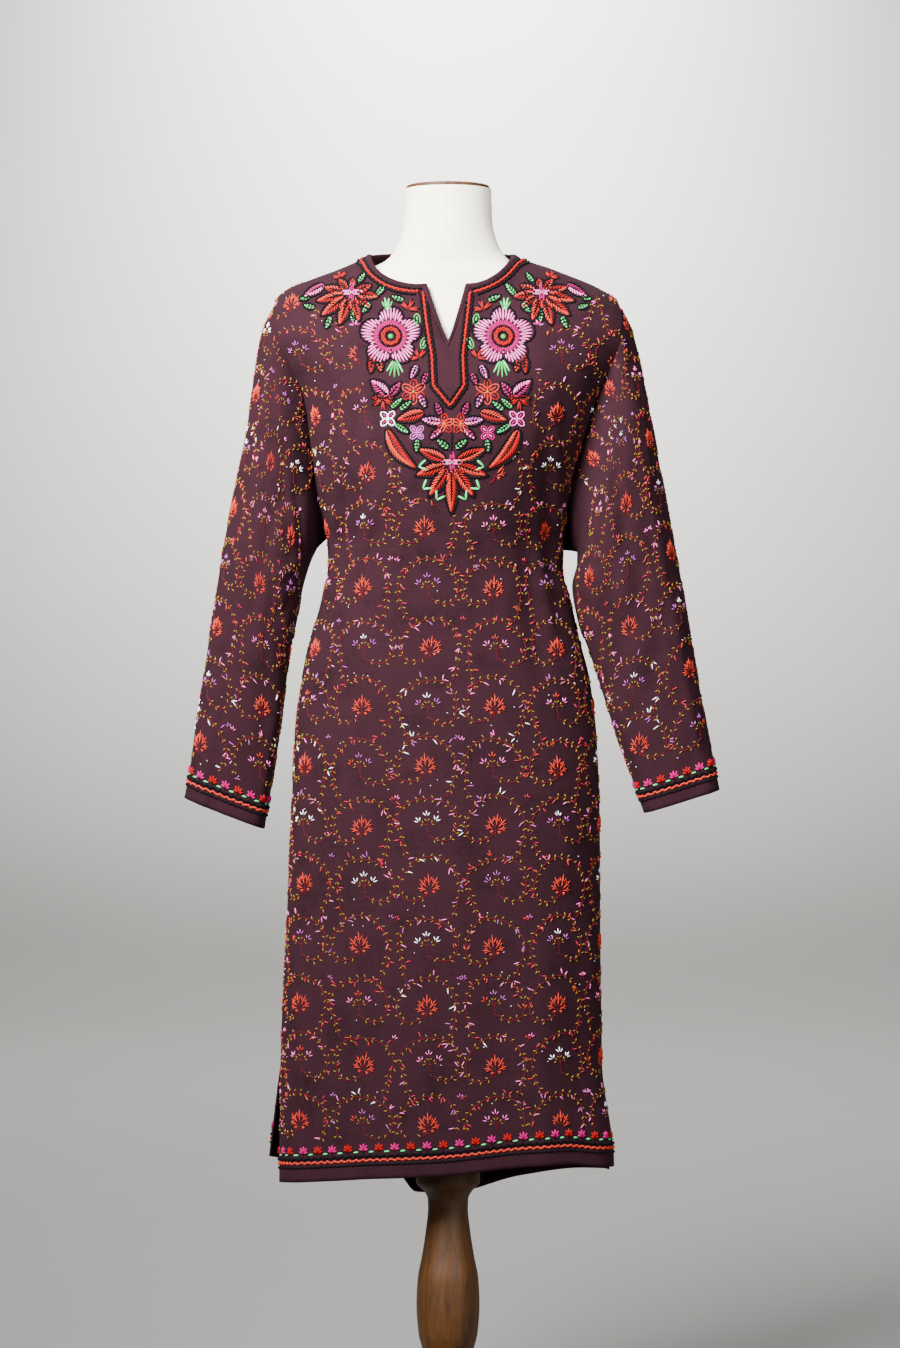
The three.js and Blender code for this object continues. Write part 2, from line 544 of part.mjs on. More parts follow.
const keyOf = (p) => [p.x, p.y, p.z].map((value) => Math.round(value * 100)).join(',');

function cellNormal(cell) {
  const across = new THREE.Vector3().subVectors(cell[2], cell[0]);
  return across.cross(new THREE.Vector3().subVectors(cell[3], cell[1])).normalize();
}

// For every point of the cloth the cells round it, joined over the seams: the panels that meet there, the
// direction that stands out of all its cells alike, and how much further out a sharp fold has to stand there
// for its walls to keep their thickness.
function survey(pieces) {
  const spots = new Map();
  for (const [name, cells] of Object.entries(pieces)) {
    for (const cell of cells) {
      const normal = cellNormal(cell);
      for (const key of cell.map(keyOf)) {
        if (!spots.has(key)) spots.set(key, { normal: new THREE.Vector3(), around: [], panels: new Set() });
        spots.get(key).normal.add(normal);
        spots.get(key).around.push(normal);
        spots.get(key).panels.add(name);
      }
    }
  }
  for (const spot of spots.values()) {
    const leastTurned = () => spot.around.reduce((a, b) => (b.dot(spot.normal) < a.dot(spot.normal) ? b : a));
    spot.normal.normalize();
    for (let k = 1; spot.panels.size > 1 && k < 60; k++) {
      spot.normal.addScaledVector(leastTurned(), 1 / (k + 2)).normalize();
    }
    spot.stretch = Math.min(MOST_STRETCH, 1 / Math.max(0.1, leastTurned().dot(spot.normal)));
  }
  return spots;
}

// A closed wall of cloth: the cells moved out and in by half the thickness, with edges all round. Points on a
// seam are drawn back from it by half the seam's gap.
function wallGeometry(cells, thickness, spots) {
  const points = [];
  const indexOf = new Map();
  const faces = cells.map((cell) => cell.map((p) => {
    const key = keyOf(p);
    if (!indexOf.has(key)) {
      indexOf.set(key, points.length);
      points.push({ at: p.clone(), ...spots.get(key), back: new THREE.Vector3() });
    }
    return indexOf.get(key);
  })).map((face) => face.filter((index, i) => index !== face[(i + 1) % face.length]));
  const edges = new Map();
  for (const face of faces) {
    face.forEach((from, i) => {
      const to = face[(i + 1) % face.length];
      if (!edges.delete(`${to}>${from}`)) edges.set(`${from}>${to}`, [from, to]);
    });
  }
  for (const [from, to] of edges.values()) {
    for (const index of [from, to]) {
      const p = points[index];
      const run = new THREE.Vector3().subVectors(points[to].at, points[from].at);
      p.back.add(run.cross(p.normal).negate().normalize());
    }
  }
  for (const p of points) {
    if (p.panels.size > 1 && p.back.lengthSq() > 0) p.at.addScaledVector(p.back.normalize(), SEAM_GAP / 2);
  }
  const outside = points.map((p) => p.at.clone().addScaledVector(p.normal, (p.stretch * thickness) / 2));
  const inside = points.map((p) => p.at.clone().addScaledVector(p.normal, (-p.stretch * thickness) / 2));
  const corners = [];
  const addFace = (loop) => {
    for (let i = 1; i + 1 < loop.length; i++) corners.push(loop[0], loop[i], loop[i + 1]);
  };
  for (const face of faces) {
    addFace(face.map((index) => outside[index]));
    addFace(face.map((index) => inside[index]).reverse());
  }
  for (const [from, to] of edges.values()) addFace([outside[to], outside[from], inside[from], inside[to]]);
  return new THREE.BufferGeometry().setFromPoints(corners);
}

// A closed skin over level rings of points, with flat ends.
function loftGeometry(rings) {
  const corners = [];
  const sides = rings[0].length;
  const centre = (ring) => ring.reduce((sum, p) => sum.add(p), new THREE.Vector3()).divideScalar(ring.length);
  for (let j = 0; j + 1 < rings.length; j++) {
    for (let i = 0; i < sides; i++) {
      const next = (i + 1) % sides;
      const [a, b, c, d] = [rings[j][i], rings[j][next], rings[j + 1][next], rings[j + 1][i]];
      corners.push(a, b, c, a, c, d);
    }
  }
  const low = centre(rings[0]);
  const high = centre(rings[rings.length - 1]);
  for (let i = 0; i < sides; i++) {
    const next = (i + 1) % sides;
    corners.push(low, rings[0][next], rings[0][i]);
    corners.push(high, rings[rings.length - 1][i], rings[rings.length - 1][next]);
  }
  return new THREE.BufferGeometry().setFromPoints(corners);
}

function formGeometry() {
  const low = FORM[0].z;
  const high = FORM[FORM.length - 1].z;
  const rings = [];
  const heights = [low, 706, 716];
  for (let j = 1; j <= FORM_ROWS; j++) heights.push(lerp(716, high, j / FORM_ROWS));
  for (const z of heights) {
    const exponent = 2 / column(FORM, 'z', 'square', z);
    const ring = [];
    for (let i = 0; i < FORM_SIDES; i++) {
      const angle = (i / FORM_SIDES) * 2 * Math.PI;
      const deep = power(Math.sin(angle), exponent);
      const depth = column(FORM, 'z', deep < 0 ? 'front' : 'back', z);
      ring.push(new THREE.Vector3(column(FORM, 'z', 'half', z) * power(Math.cos(angle), exponent), depth * deep, z));
    }
    rings.push(ring);
  }
  return loftGeometry(rings);
}

// A solid turned about the upright axis from a profile of radii.
function turnedGeometry(profile) {
  const line = [new THREE.Vector2(0, profile[0].z), ...profile.map((p) => new THREE.Vector2(p.r, p.z))];
  line.push(new THREE.Vector2(0, profile[profile.length - 1].z));
  return new THREE.LatheGeometry(line, TURNED_SIDES).rotateX(Math.PI / 2);
}

const disc = (radius, low, high) => turnedGeometry([{ z: low, r: radius }, { z: high, r: radius }]);

const part = new THREE.Group();

function add(name, geometry, finish) {
  const mesh = new THREE.Mesh(geometry, new THREE.MeshStandardMaterial(finish));
  mesh.name = name;
  part.add(mesh);
}

const cloth = {
  front: bodyCells('front'),
  back: bodyCells('back'),
  sleeve_left: sleeveCells(false),
  sleeve_right: sleeveCells(true),
  neck_binding: bindingCells(),
};
const spots = survey(cloth);
for (const [name, cells] of Object.entries(cloth)) {
  const binding = name === 'neck_binding';
  const geometry = wallGeometry(cells, binding ? BINDING_CLOTH : CLOTH, spots);
  add(name, mergeVertices(geometry, 1e-3), binding ? WOOL_EDGE : WOOL);
}

const torsoFoot = FORM[0].z;
const neckTop = FORM[FORM.length - 1].z;
const postTop = POST_PROFILE[POST_PROFILE.length - 1].z;
const plateLow = torsoFoot - TOUCH_GAP - PLATE.thickness;
add('form_torso', mergeVertices(formGeometry(), 1e-3), COVER);
add('neck_cap', disc(CAP.radius, neckTop + TOUCH_GAP, neckTop + TOUCH_GAP + CAP.thickness), DARK_WOOD);
add('form_base_plate', disc(PLATE.radius, plateLow, torsoFoot - TOUCH_GAP), WOOD);
add('pole', disc(POLE_RADIUS, postTop + TOUCH_GAP, plateLow - TOUCH_GAP), STEEL);
add('post', turnedGeometry(POST_PROFILE), WOOD);
add('post_foot', turnedGeometry(FOOT_PROFILE), DARK_WOOD);
add('base', turnedGeometry(BASE_PROFILE), DARK_WOOD);

export default part;
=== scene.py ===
import math
import random

import bmesh
import bpy
import numpy as np
from mathutils import Matrix, Vector
from mathutils.bvhtree import BVHTree


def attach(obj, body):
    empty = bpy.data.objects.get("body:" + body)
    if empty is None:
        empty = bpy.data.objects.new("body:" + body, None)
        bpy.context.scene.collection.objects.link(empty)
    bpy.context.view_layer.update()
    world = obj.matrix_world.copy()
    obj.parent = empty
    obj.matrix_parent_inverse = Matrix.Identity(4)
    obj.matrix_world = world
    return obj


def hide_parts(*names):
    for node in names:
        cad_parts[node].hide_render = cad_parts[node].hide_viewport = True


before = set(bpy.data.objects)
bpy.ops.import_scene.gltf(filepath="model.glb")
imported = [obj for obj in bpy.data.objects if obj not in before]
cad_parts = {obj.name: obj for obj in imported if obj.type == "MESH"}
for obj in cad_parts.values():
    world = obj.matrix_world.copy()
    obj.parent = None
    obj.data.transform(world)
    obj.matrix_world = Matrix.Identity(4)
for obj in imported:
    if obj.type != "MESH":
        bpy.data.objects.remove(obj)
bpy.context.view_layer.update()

bl_info = {
    "name": "Embroidered Pheran",
    "version": (1, 0, 0),
    "blender": (4, 5, 0),
    "location": "View3D > Sidebar > Pheran",
    "description": "Sews an embroidered wool pheran on a dress form with a turned wooden stand",
    "category": "Add Mesh",
}

MM = 0.001

# --- stage, in metres ---

CAMERA_PLACE = (0.0024, -4.5, 0.941)
CAMERA_LENS = 100.15
FLOOR_NEAR, FLOOR_FAR = -9.0, 5.5
WALL_CURVE = 3
WALL_TOP = 6.5
WALL_HALF = 9.0

# --- sizes of the garment and the form, in millimetres ---

VENT_TOP = 475
ARMPIT = {False: 1106, True: 1092}
SLIT_BOTTOM = 1331
NECK_FRONT = 1402
NECK_RIDGE = 1444
BINDING_WIDTH = 5
SEAM_SLOPE = 0.54
SKIRT_ROWS, SIDE_ROWS, ARMHOLE_ROWS, SLIT_ROWS = 4, 13, 12, 5
NECK_COLUMNS, SHOULDER_COLUMNS = 7, 5
ARC_STEPS = 72


def table(names, *rows):
    """Columns of a table of sizes."""
    return dict(zip(names.split(), np.array(rows, float).T))


# Level sections of the cloth body: half widths left and right, depths front and back, depth of the side seam,
# and the exponent of the section's corners.
BODY = table(
    "z left right front back ridge square",
    (290, 201, 199, 97, 112, 4, 2.25), (360, 201, 198, 97, 112, 4, 2.25), (475, 200, 184, 98, 113, 5, 2.25),
    (640, 193, 182, 99, 116, 6, 2.25), (780, 187, 181, 102, 120, 6, 2.25), (860, 183, 178, 103, 119, 6, 2.2),
    (935, 175, 169, 102, 109, 4, 2.15), (982, 164, 157, 102, 99, 3, 2.1), (1030, 151, 146, 104, 89, 2, 2.1),
    (1075, 143, 134, 109, 84, 3, 2.05), (1100, 144, 133, 114, 85, 4, 2), (1125, 149, 137.5, 119, 86, 4, 2.1),
    (1175, 161, 146, 130, 92, 4, 2.1), (1215, 167, 162, 134, 98, 4, 2.1), (1265, 174, 178, 128, 104, 4, 2.15),
    (1292, 183, 188, 119, 106, 4, 2.3), (1314, 195, 199, 110, 106, 4, 2.4), (1340, 203, 205, 99, 102, 5, 2.5),
    (1365, 206, 207, 86, 97, 6, 2.4), (1388, 206, 202, 74, 89, 6, 2.3), (1402, 191, 182, 67, 83, 6, 2.15),
    (1414, 162, 155, 63, 78, 5, 2.1), (1426, 130, 124, 60, 73, 4, 2), (1438, 103, 88, 58, 68, 4, 2),
    (1446, 91, 75, 57, 66, 4, 2), (1460, 76, 68, 56, 62, 4, 2),
)
# Armhole seams from the shoulder tip (turn 0) to the armpit (turn 180); the key is True for the right one.
ARMHOLES = {
    False: table(
        "turn x z front back",
        (0, 206, 1388, -6, 6), (25, 207, 1366, 36, 46), (50, 202, 1336, 47, 56), (72, 187, 1306, 42, 52),
        (95, 171, 1268, 33, 42), (125, 163, 1212, 28, 36), (155, 155, 1152, 19, 26), (180, 145, 1106, -4, 4),
    ),
    True: table(
        "turn x z front back",
        (0, 204, 1386, -6, 6), (25, 207, 1364, 36, 46), (50, 204, 1336, 48, 56), (72, 192, 1306, 43, 52),
        (95, 176, 1265, 34, 42), (125, 158, 1210, 28, 36), (155, 143, 1145, 18, 20), (180, 138, 1092, -4, 4),
    ),
}
# Slanted rings of each sleeve: outer and inner point, depths in front and behind, exponent of the corners.
SLEEVES = {
    False: table(
        "along out_x out_z in_x in_z front back square",
        (0.07, 222, 1350, 159, 1090, 60, 66, 2.3), (0.15, 231, 1292, 167, 1072, 68, 71, 2.3),
        (0.27, 243, 1220, 175, 1045, 70, 71, 2.35), (0.39, 258, 1145, 182, 1006, 67, 67, 2.4),
        (0.5, 270, 1078, 190, 970, 62, 62, 2.5), (0.62, 283, 1000, 196, 922, 56, 56, 2.6),
        (0.76, 295, 915, 203, 868, 50, 50, 2.8), (0.89, 306, 845, 212, 812, 44, 44, 3),
        (1, 315, 793, 221, 756, 40, 40, 3.1),
    ),
    True: table(
        "along out_x out_z in_x in_z front back square",
        (0.07, 221, 1347, 156, 1087, 60, 66, 2.3), (0.15, 234, 1290, 156, 1074, 68, 71, 2.3),
        (0.27, 248, 1220, 150, 1046, 70, 71, 2.35), (0.39, 261, 1145, 156, 1008, 67, 67, 2.4),
        (0.5, 274, 1078, 169, 972, 62, 62, 2.5), (0.62, 288, 1000, 184, 926, 56, 56, 2.6),
        (0.76, 301, 922, 200, 876, 50, 50, 2.8), (0.89, 314, 852, 219, 824, 44, 44, 3),
        (1, 325, 803, 236, 775, 40, 40, 3.1),
    ),
}
# Lower edges, against the distance along the cloth from the centre line.
HEMS = {
    "front": table(
        "s z",
        (-260, 331), (-200, 337), (-100, 346), (0, 352), (100, 361), (140, 362), (190, 356), (260, 350),
    ),
    "back": table(
        "s z",
        (-260, 361), (-200, 351), (-120, 337), (-62, 328), (-40, 305),
        (0, 303), (90, 326), (160, 338), (260, 346),
    ),
}
VENT_FLARE = {"front": (0, 0, -12), "back": (16, -5, 13)}  # left, right and forward or back, at the hem
NECK_LINE = {
    ("front", False): [(25, 1402), (42, 1402), (60, 1406), (76, 1414), (87, 1425), (94, 1444)],
    ("front", True): [(21, 1402), (36, 1404), (50, 1410), (61, 1418), (70, 1428), (78, 1444)],
    ("back", False): [(0, 1452), (45, 1451), (76, 1448), (94, 1444)],
    ("back", True): [(0, 1452), (40, 1451), (64, 1448), (78, 1444)],
}
# Folds of the body: from one height and distance along the cloth to another. depth is outwards, width is half
# the fold's. The first of each face are its main folds, the later ones the smaller creases between them.
FOLDS = {
    "front": table(
        "high high_s low low_s depth width",
        (1205, -96, 960, -178, -5, 17), (1165, -138, 1010, -166, -4, 12), (1250, 118, 1000, 150, -6, 15),
        (1160, 98, 900, 112, -4, 16), (1010, -40, 640, -74, -3, 24), (940, -192, 240, -190, 4, 14),
        (800, -88, 230, -104, -4, 30), (860, 52, 230, 66, -4, 28), (700, 160, 230, 168, -4, 24),
        (1188, -66, 1010, -142, 2.2, 9), (1140, -120, 1000, -172, 2.4, 8), (1238, -112, 1072, -160, -2.2, 8),
        (1120, -84, 985, -132, -1.8, 8), (1225, 140, 1060, 168, 2.6, 8), (1190, 116, 985, 134, 2.2, 9),
        (1110, 126, 930, 150, -1.8, 8), (1275, 142, 1170, 160, -2.2, 9), (1000, -191, 240, -189, 1.6, 4),
        (1310, -150, 1190, -158, -2, 10), (1290, 96, 1180, 112, 1.2, 10), (930, 18, 560, 10, 1.4, 16),
        (700, -30, 300, -24, 1.6, 15), (640, 112, 290, 118, 1.8, 14), (560, -146, 260, -150, -1.6, 12),
    ),
    "back": table(
        "high high_s low low_s depth width",
        (1230, -62, 900, -96, -5, 20), (1240, 58, 900, 88, -5, 22), (1050, 4, 560, -8, -4, 26),
        (900, -118, 210, -132, -6, 30), (720, -44, 190, -52, -7, 20), (900, 96, 210, 108, -6, 32),
        (860, 188, 210, 190, -4, 22), (1170, -112, 1000, -164, 2.2, 9), (1150, 110, 985, 156, 2.4, 9),
        (1120, -24, 960, -60, 1.8, 10), (1130, 32, 950, 62, 1.8, 10), (1330, -120, 1180, -136, -2, 11),
        (1330, 118, 1170, 138, -2.2, 11), (1000, -192, 240, -190, 1.6, 4), (640, 44, 260, 52, 2, 14),
    ),
}
# Creases of the sleeves: share of the way from the outer line round to the inner one (back is negative),
# share of the length, depth and half width.
SLEEVE_CREASES = {
    False: table(
        "share start share_end end depth width",
        (0.30, 0.10, 0.34, 1.25, 1.8, 7), (0.80, 0.26, 0.78, 1.2, 2.2, 7), (0.55, 0.12, 0.46, 0.62, -3, 13),
        (0.62, 0.34, 0.70, 0.9, -2.2, 11), (0.16, 0.05, 0.20, 0.5, -1.8, 9), (0.86, 0.18, 0.60, 0.40, 2.4, 7),
        (0.92, 0.24, 0.66, 0.50, -2.6, 8), (-0.40, 0.10, -0.52, 0.7, -3, 14), (-0.72, 0.3, -0.66, 1.1, 2, 9),
        (0.46, 0.60, 0.52, 1.1, 1.4, 9), (-0.20, 0.3, -0.26, 1.1, 1.8, 8), (0.7, 0.06, 0.5, 0.26, -2.4, 9),
    ),
    True: table(
        "share start share_end end depth width",
        (0.26, 0.12, 0.30, 1.25, 1.8, 7), (0.82, 0.24, 0.76, 1.2, 2.4, 7), (0.50, 0.14, 0.40, 0.66, -4, 12),
        (0.64, 0.30, 0.68, 0.9, -2.2, 11), (0.14, 0.05, 0.18, 0.5, -1.8, 9), (0.88, 0.18, 0.62, 0.42, 2.4, 7),
        (0.94, 0.25, 0.68, 0.52, -2.6, 8), (-0.42, 0.10, -0.5, 0.7, -3, 14), (-0.7, 0.3, -0.68, 1.1, 2, 9),
        (0.56, 0.10, 0.52, 0.5, 1.8, 9), (-0.22, 0.3, -0.24, 1.1, 1.8, 8), (0.72, 0.05, 0.52, 0.26, -2.4, 9),
    ),
}
FORM = table(
    "z half front back square",
    (700, 140, 78, 84, 2.2), (706, 150, 85, 92, 2.2), (730, 161, 90, 101, 2.2), (780, 168, 94, 109, 2.15),
    (850, 167, 95, 109, 2.1), (920, 154, 94, 99, 2.05), (985, 131, 90, 84, 2), (1040, 121, 90, 76, 2),
    (1090, 122, 97, 76, 2), (1140, 128, 112, 80, 2.1), (1185, 138, 127, 87, 2.25),
    (1215, 145, 130.5, 91, 2.3),
    (1260, 150, 121, 96, 2.3), (1300, 158, 106, 98, 2.3), (1335, 176, 91, 95, 2.3), (1362, 190, 78, 90, 2.2),
    (1384, 191, 67, 82, 2.1), (1399, 172, 61, 76, 2), (1411, 146, 57, 71, 2), (1423, 112, 52, 64, 2),
    (1433, 80, 49, 58, 2), (1443, 68, 49, 55, 2), (1459, 59, 49.5, 53, 2), (1482, 53.5, 49.5, 51, 2),
    (1522, 52, 50, 50, 2),
)
POST = table(
    "z r",
    (132, 31), (150, 35.5), (185, 38), (215, 36.5), (245, 31), (275, 26.5), (300, 24), (312, 24.5), (321, 29),
    (330, 37.5), (333, 38.5), (345.5, 38.5), (347, 37),
)
FOOT = table("z r", (30.3, 51), (32, 52), (40, 52), (47, 46), (58, 36), (80, 30), (110, 28.5), (131.7, 31))
BASE = table("z r", (0, 170.5), (1.5, 172), (20, 172), (25, 170), (28.5, 165), (30, 160))


# --- smooth lines through the tables ---


def through(xs, ys, at):
    """A smooth line through a table's rows that never swings past them."""
    at = np.clip(at, xs[0], xs[-1])
    run = np.diff(xs).reshape((-1,) + (1,) * (ys.ndim - 1))
    slope = np.diff(ys, axis=0) / run
    before, after = slope[:-1], slope[1:]
    alike = before * after > 0
    middle = np.where(alike, 2 * before * after / np.where(alike, before + after, 1), 0)
    tangent = np.concatenate([slope[:1], middle, slope[-1:]])
    i = np.clip(np.searchsorted(xs, at) - 1, 0, len(xs) - 2)
    width = xs[i + 1] - xs[i]
    t = (at - xs[i]) / width
    if ys.ndim > 1:
        width, t = width[:, None], t[:, None]
    rise = t * t * (3 - 2 * t)
    pull = t * (1 - t) ** 2 * tangent[i] + t * t * (t - 1) * tangent[i + 1]
    return ys[i] * (1 - rise) + ys[i + 1] * rise + width * pull


def column(rows, key, name, at):
    return through(rows[key], rows[name], at)


def power(value, exponent):
    return np.sign(value) * np.abs(value) ** exponent


def ease(t):
    t = np.clip(t, 0, 1)
    return t * t * (3 - 2 * t)


def smooth_path(points, steps=16):
    """A smooth curve that passes through all the points."""
    p = np.array(points, float)
    p = np.concatenate([[2 * p[0] - p[1]], p, [2 * p[-1] - p[-2]]])
    gap = np.maximum(np.linalg.norm(np.diff(p, axis=0), axis=1) ** 0.5, 1e-4)
    t = np.linspace(0, 1, steps, endpoint=False)[:, None]
    out = []
    for i in range(1, len(p) - 2):
        a, b, c = gap[i - 1], gap[i], gap[i + 1]
        leave = ((p[i] - p[i - 1]) / a - (p[i + 1] - p[i - 1]) / (a + b) + (p[i + 1] - p[i]) / b) * b
        reach = ((p[i + 1] - p[i]) / b - (p[i + 2] - p[i]) / (b + c) + (p[i + 2] - p[i + 1]) / c) * b
        ends = (2 * t**3 - 3 * t**2 + 1) * p[i] + (3 * t**2 - 2 * t**3) * p[i + 1]
        out.append(ends + (t**3 - 2 * t**2 + t) * leave + (t**3 - t**2) * reach)
    out.append(p[-2:-1])
    return np.concatenate(out)


# --- the garment's surface ---

ANGLES = np.linspace(0, math.pi / 2, ARC_STEPS + 1)


def quarter(face, right, z):
    """Quarter sections of the body at several heights, with the lengths up to each of their points."""
    vent = np.maximum(0, (VENT_TOP - z) / (VENT_TOP - 340))
    flare_left, flare_right, towards = VENT_FLARE[face]
    left_half = column(BODY, "z", "left", z) + flare_left * vent
    right_half = column(BODY, "z", "right", z) + flare_right * vent
    half = np.where(right, right_half, left_half)[:, None]
    ridge = (column(BODY, "z", "ridge", z) + towards * vent)[:, None]
    far = (column(BODY, "z", face, z) * (-1 if face == "front" else 1))[:, None]
    exponent = (2 / column(BODY, "z", "square", z))[:, None]
    x = half * np.sin(ANGLES) ** exponent
    y = ridge + (far - ridge) * np.abs(np.cos(ANGLES)) ** exponent
    steps = np.hypot(np.diff(x, axis=1), np.diff(y, axis=1))
    length = np.concatenate([np.zeros((len(z), 1)), np.cumsum(steps, axis=1)], axis=1)
    return x, y, length


def girth(face, right, z):
    return quarter(face, np.full(np.shape(z), right), np.asarray(z, float))[2][:, -1]


def body_point(face, s, z):
    """Points of the body that lie s along the cloth from the centre line, at height z."""
    shape = np.shape(s)
    s, z = np.ravel(s).astype(float), np.ravel(z).astype(float)
    x, y, length = quarter(face, s >= 0, z)
    at = np.minimum(np.abs(s), length[:, -1])
    k = np.clip((length < at[:, None]).sum(1), 1, ARC_STEPS)
    row = np.arange(len(s))
    t = (at - length[row, k - 1]) / (length[row, k] - length[row, k - 1])
    px = x[row, k - 1] + (x[row, k] - x[row, k - 1]) * t
    py = y[row, k - 1] + (y[row, k] - y[row, k - 1]) * t
    return np.stack([np.where(s >= 0, px, -px), py, z], axis=1).reshape(shape + (3,))


def along_at_x(face, right, z, x):
    """How far along the cloth each section reaches a distance x from the centre."""
    xs, _, length = quarter(face, right, z)
    x = np.minimum(x, xs[:, -1])
    k = np.clip((xs < x[:, None]).sum(1), 1, ARC_STEPS)
    row = np.arange(len(z))
    t = (x - xs[row, k - 1]) / (xs[row, k] - xs[row, k - 1])
    return length[row, k - 1] + (length[row, k] - length[row, k - 1]) * t


def fold_depth(face, s, z, side_seam):
    """How far the folds and the cloth's own unevenness move it outwards."""
    depth = np.zeros_like(s)
    for high, high_s, low, low_s, deep, width in zip(*(FOLDS[face][name] for name in FOLDS[face])):
        rise = np.clip((z - low) / (high - low), 0, 1)
        off = (s - (low_s + (high_s - low_s) * rise)) / width
        depth += deep * np.sin(math.pi * rise) ** 0.7 * np.exp(-off * off)
    depth += 0.55 * unevenness(s, z, 11 if face == "front" else 12)
    return depth * np.maximum(0, 1 - (np.abs(s) / side_seam) ** 8)


def unevenness(across, up, seed):
    """A soft waviness of worn cloth, about 1 either way, longer upwards than across."""
    rng = random.Random(seed)
    total = np.zeros_like(across)
    for _ in range(9):
        wave, tall = rng.uniform(42, 95), rng.uniform(90, 260)
        tilt, phase = rng.uniform(-0.4, 0.4), rng.uniform(0, 2 * math.pi)
        total += np.sin(2 * math.pi * (across / wave + (up + tilt * across) / tall) + phase)
    return total / 3


def armhole_point(right, front, turn):
    rows = ARMHOLES[right]
    x = column(rows, "turn", "x", turn)
    y = np.where(front, -column(rows, "turn", "front", turn), column(rows, "turn", "back", turn))
    return np.stack([x if right else -x, y, column(rows, "turn", "z", turn)], axis=-1)


def armhole_turn(row):
    return 180 * (row / ARMHOLE_ROWS) ** 1.25


def neck_samples(face, right):
    flat = smooth_path(NECK_LINE[face, right], 24)
    side = np.full(len(flat), right)
    s = along_at_x(face, side, flat[:, 1], flat[:, 0])
    s[-1] = girth(face, right, flat[-1:, 1])[0]
    at = body_point(face, s if right else -s, flat[:, 1])
    length = np.concatenate([[0], np.cumsum(np.linalg.norm(np.diff(at, axis=0), axis=1))])
    return s, flat[:, 1], length


NECKS = {key: neck_samples(*key) for key in NECK_LINE}


def neck_line(face, right, t, width):
    """The neck opening from the centre (t 0) to the shoulder seam (t 1), moved out by a width."""
    s, z, length = NECKS[face, right]
    at = np.asarray(t, float) * length[-1]
    run_s, run_z = np.gradient(s, length), np.gradient(z, length)
    run = np.hypot(run_s, run_z)

    def moved(where):
        out_s = np.interp(where, length, s) + np.interp(where, length, run_z / run) * width
        out_z = np.interp(where, length, z) - np.interp(where, length, run_s / run) * width
        return out_s, out_z

    out_s, out_z = moved(at)
    first = 1 / NECK_COLUMNS
    start_s, _ = moved(0)
    goal_s = s[0] + width if face == "front" else 0
    out_s = out_s + (goal_s - start_s) * np.clip(1 - t / first, 0, 1)
    end_s, end_z = moved(length[-1])
    ridge_z = NECK_RIDGE - width * SEAM_SLOPE
    ridge_s = girth(face, right, np.array([ridge_z]))[0]
    near = np.clip((t - 1 + first) / first, 0, 1)
    return out_s + (ridge_s - end_s) * near, out_z + (ridge_z - end_z) * near


def slit_edge(right, z, width):
    corner = NECKS["front", right][0][0]
    foot = SLIT_BOTTOM - width * 1.6
    share = np.maximum(0, (z - foot) / (NECK_FRONT - width - foot))
    return (corner + width) * share**0.9


def slit_share(row):
    return 1 - np.maximum(0, 1 - row / SLIT_ROWS) ** 1.3


def nearest_along(face, right, point):
    """How far along the cloth the section at each point's height comes nearest to it."""
    x, y, length = quarter(face, np.full(len(point), right), point[:, 2])
    away = np.hypot(x - np.abs(point[:, :1]), y - point[:, 1:2])
    best = np.clip(away.argmin(1), 1, ARC_STEPS - 1)
    row = np.arange(len(point))
    weight = np.stack([1 / (away[row, best + d] ** 2 + 1e-6) for d in (-1, 0, 1)])
    spots = np.stack([length[row, best + d] for d in (-1, 0, 1)])
    return (weight * spots).sum(0) / weight.sum(0)


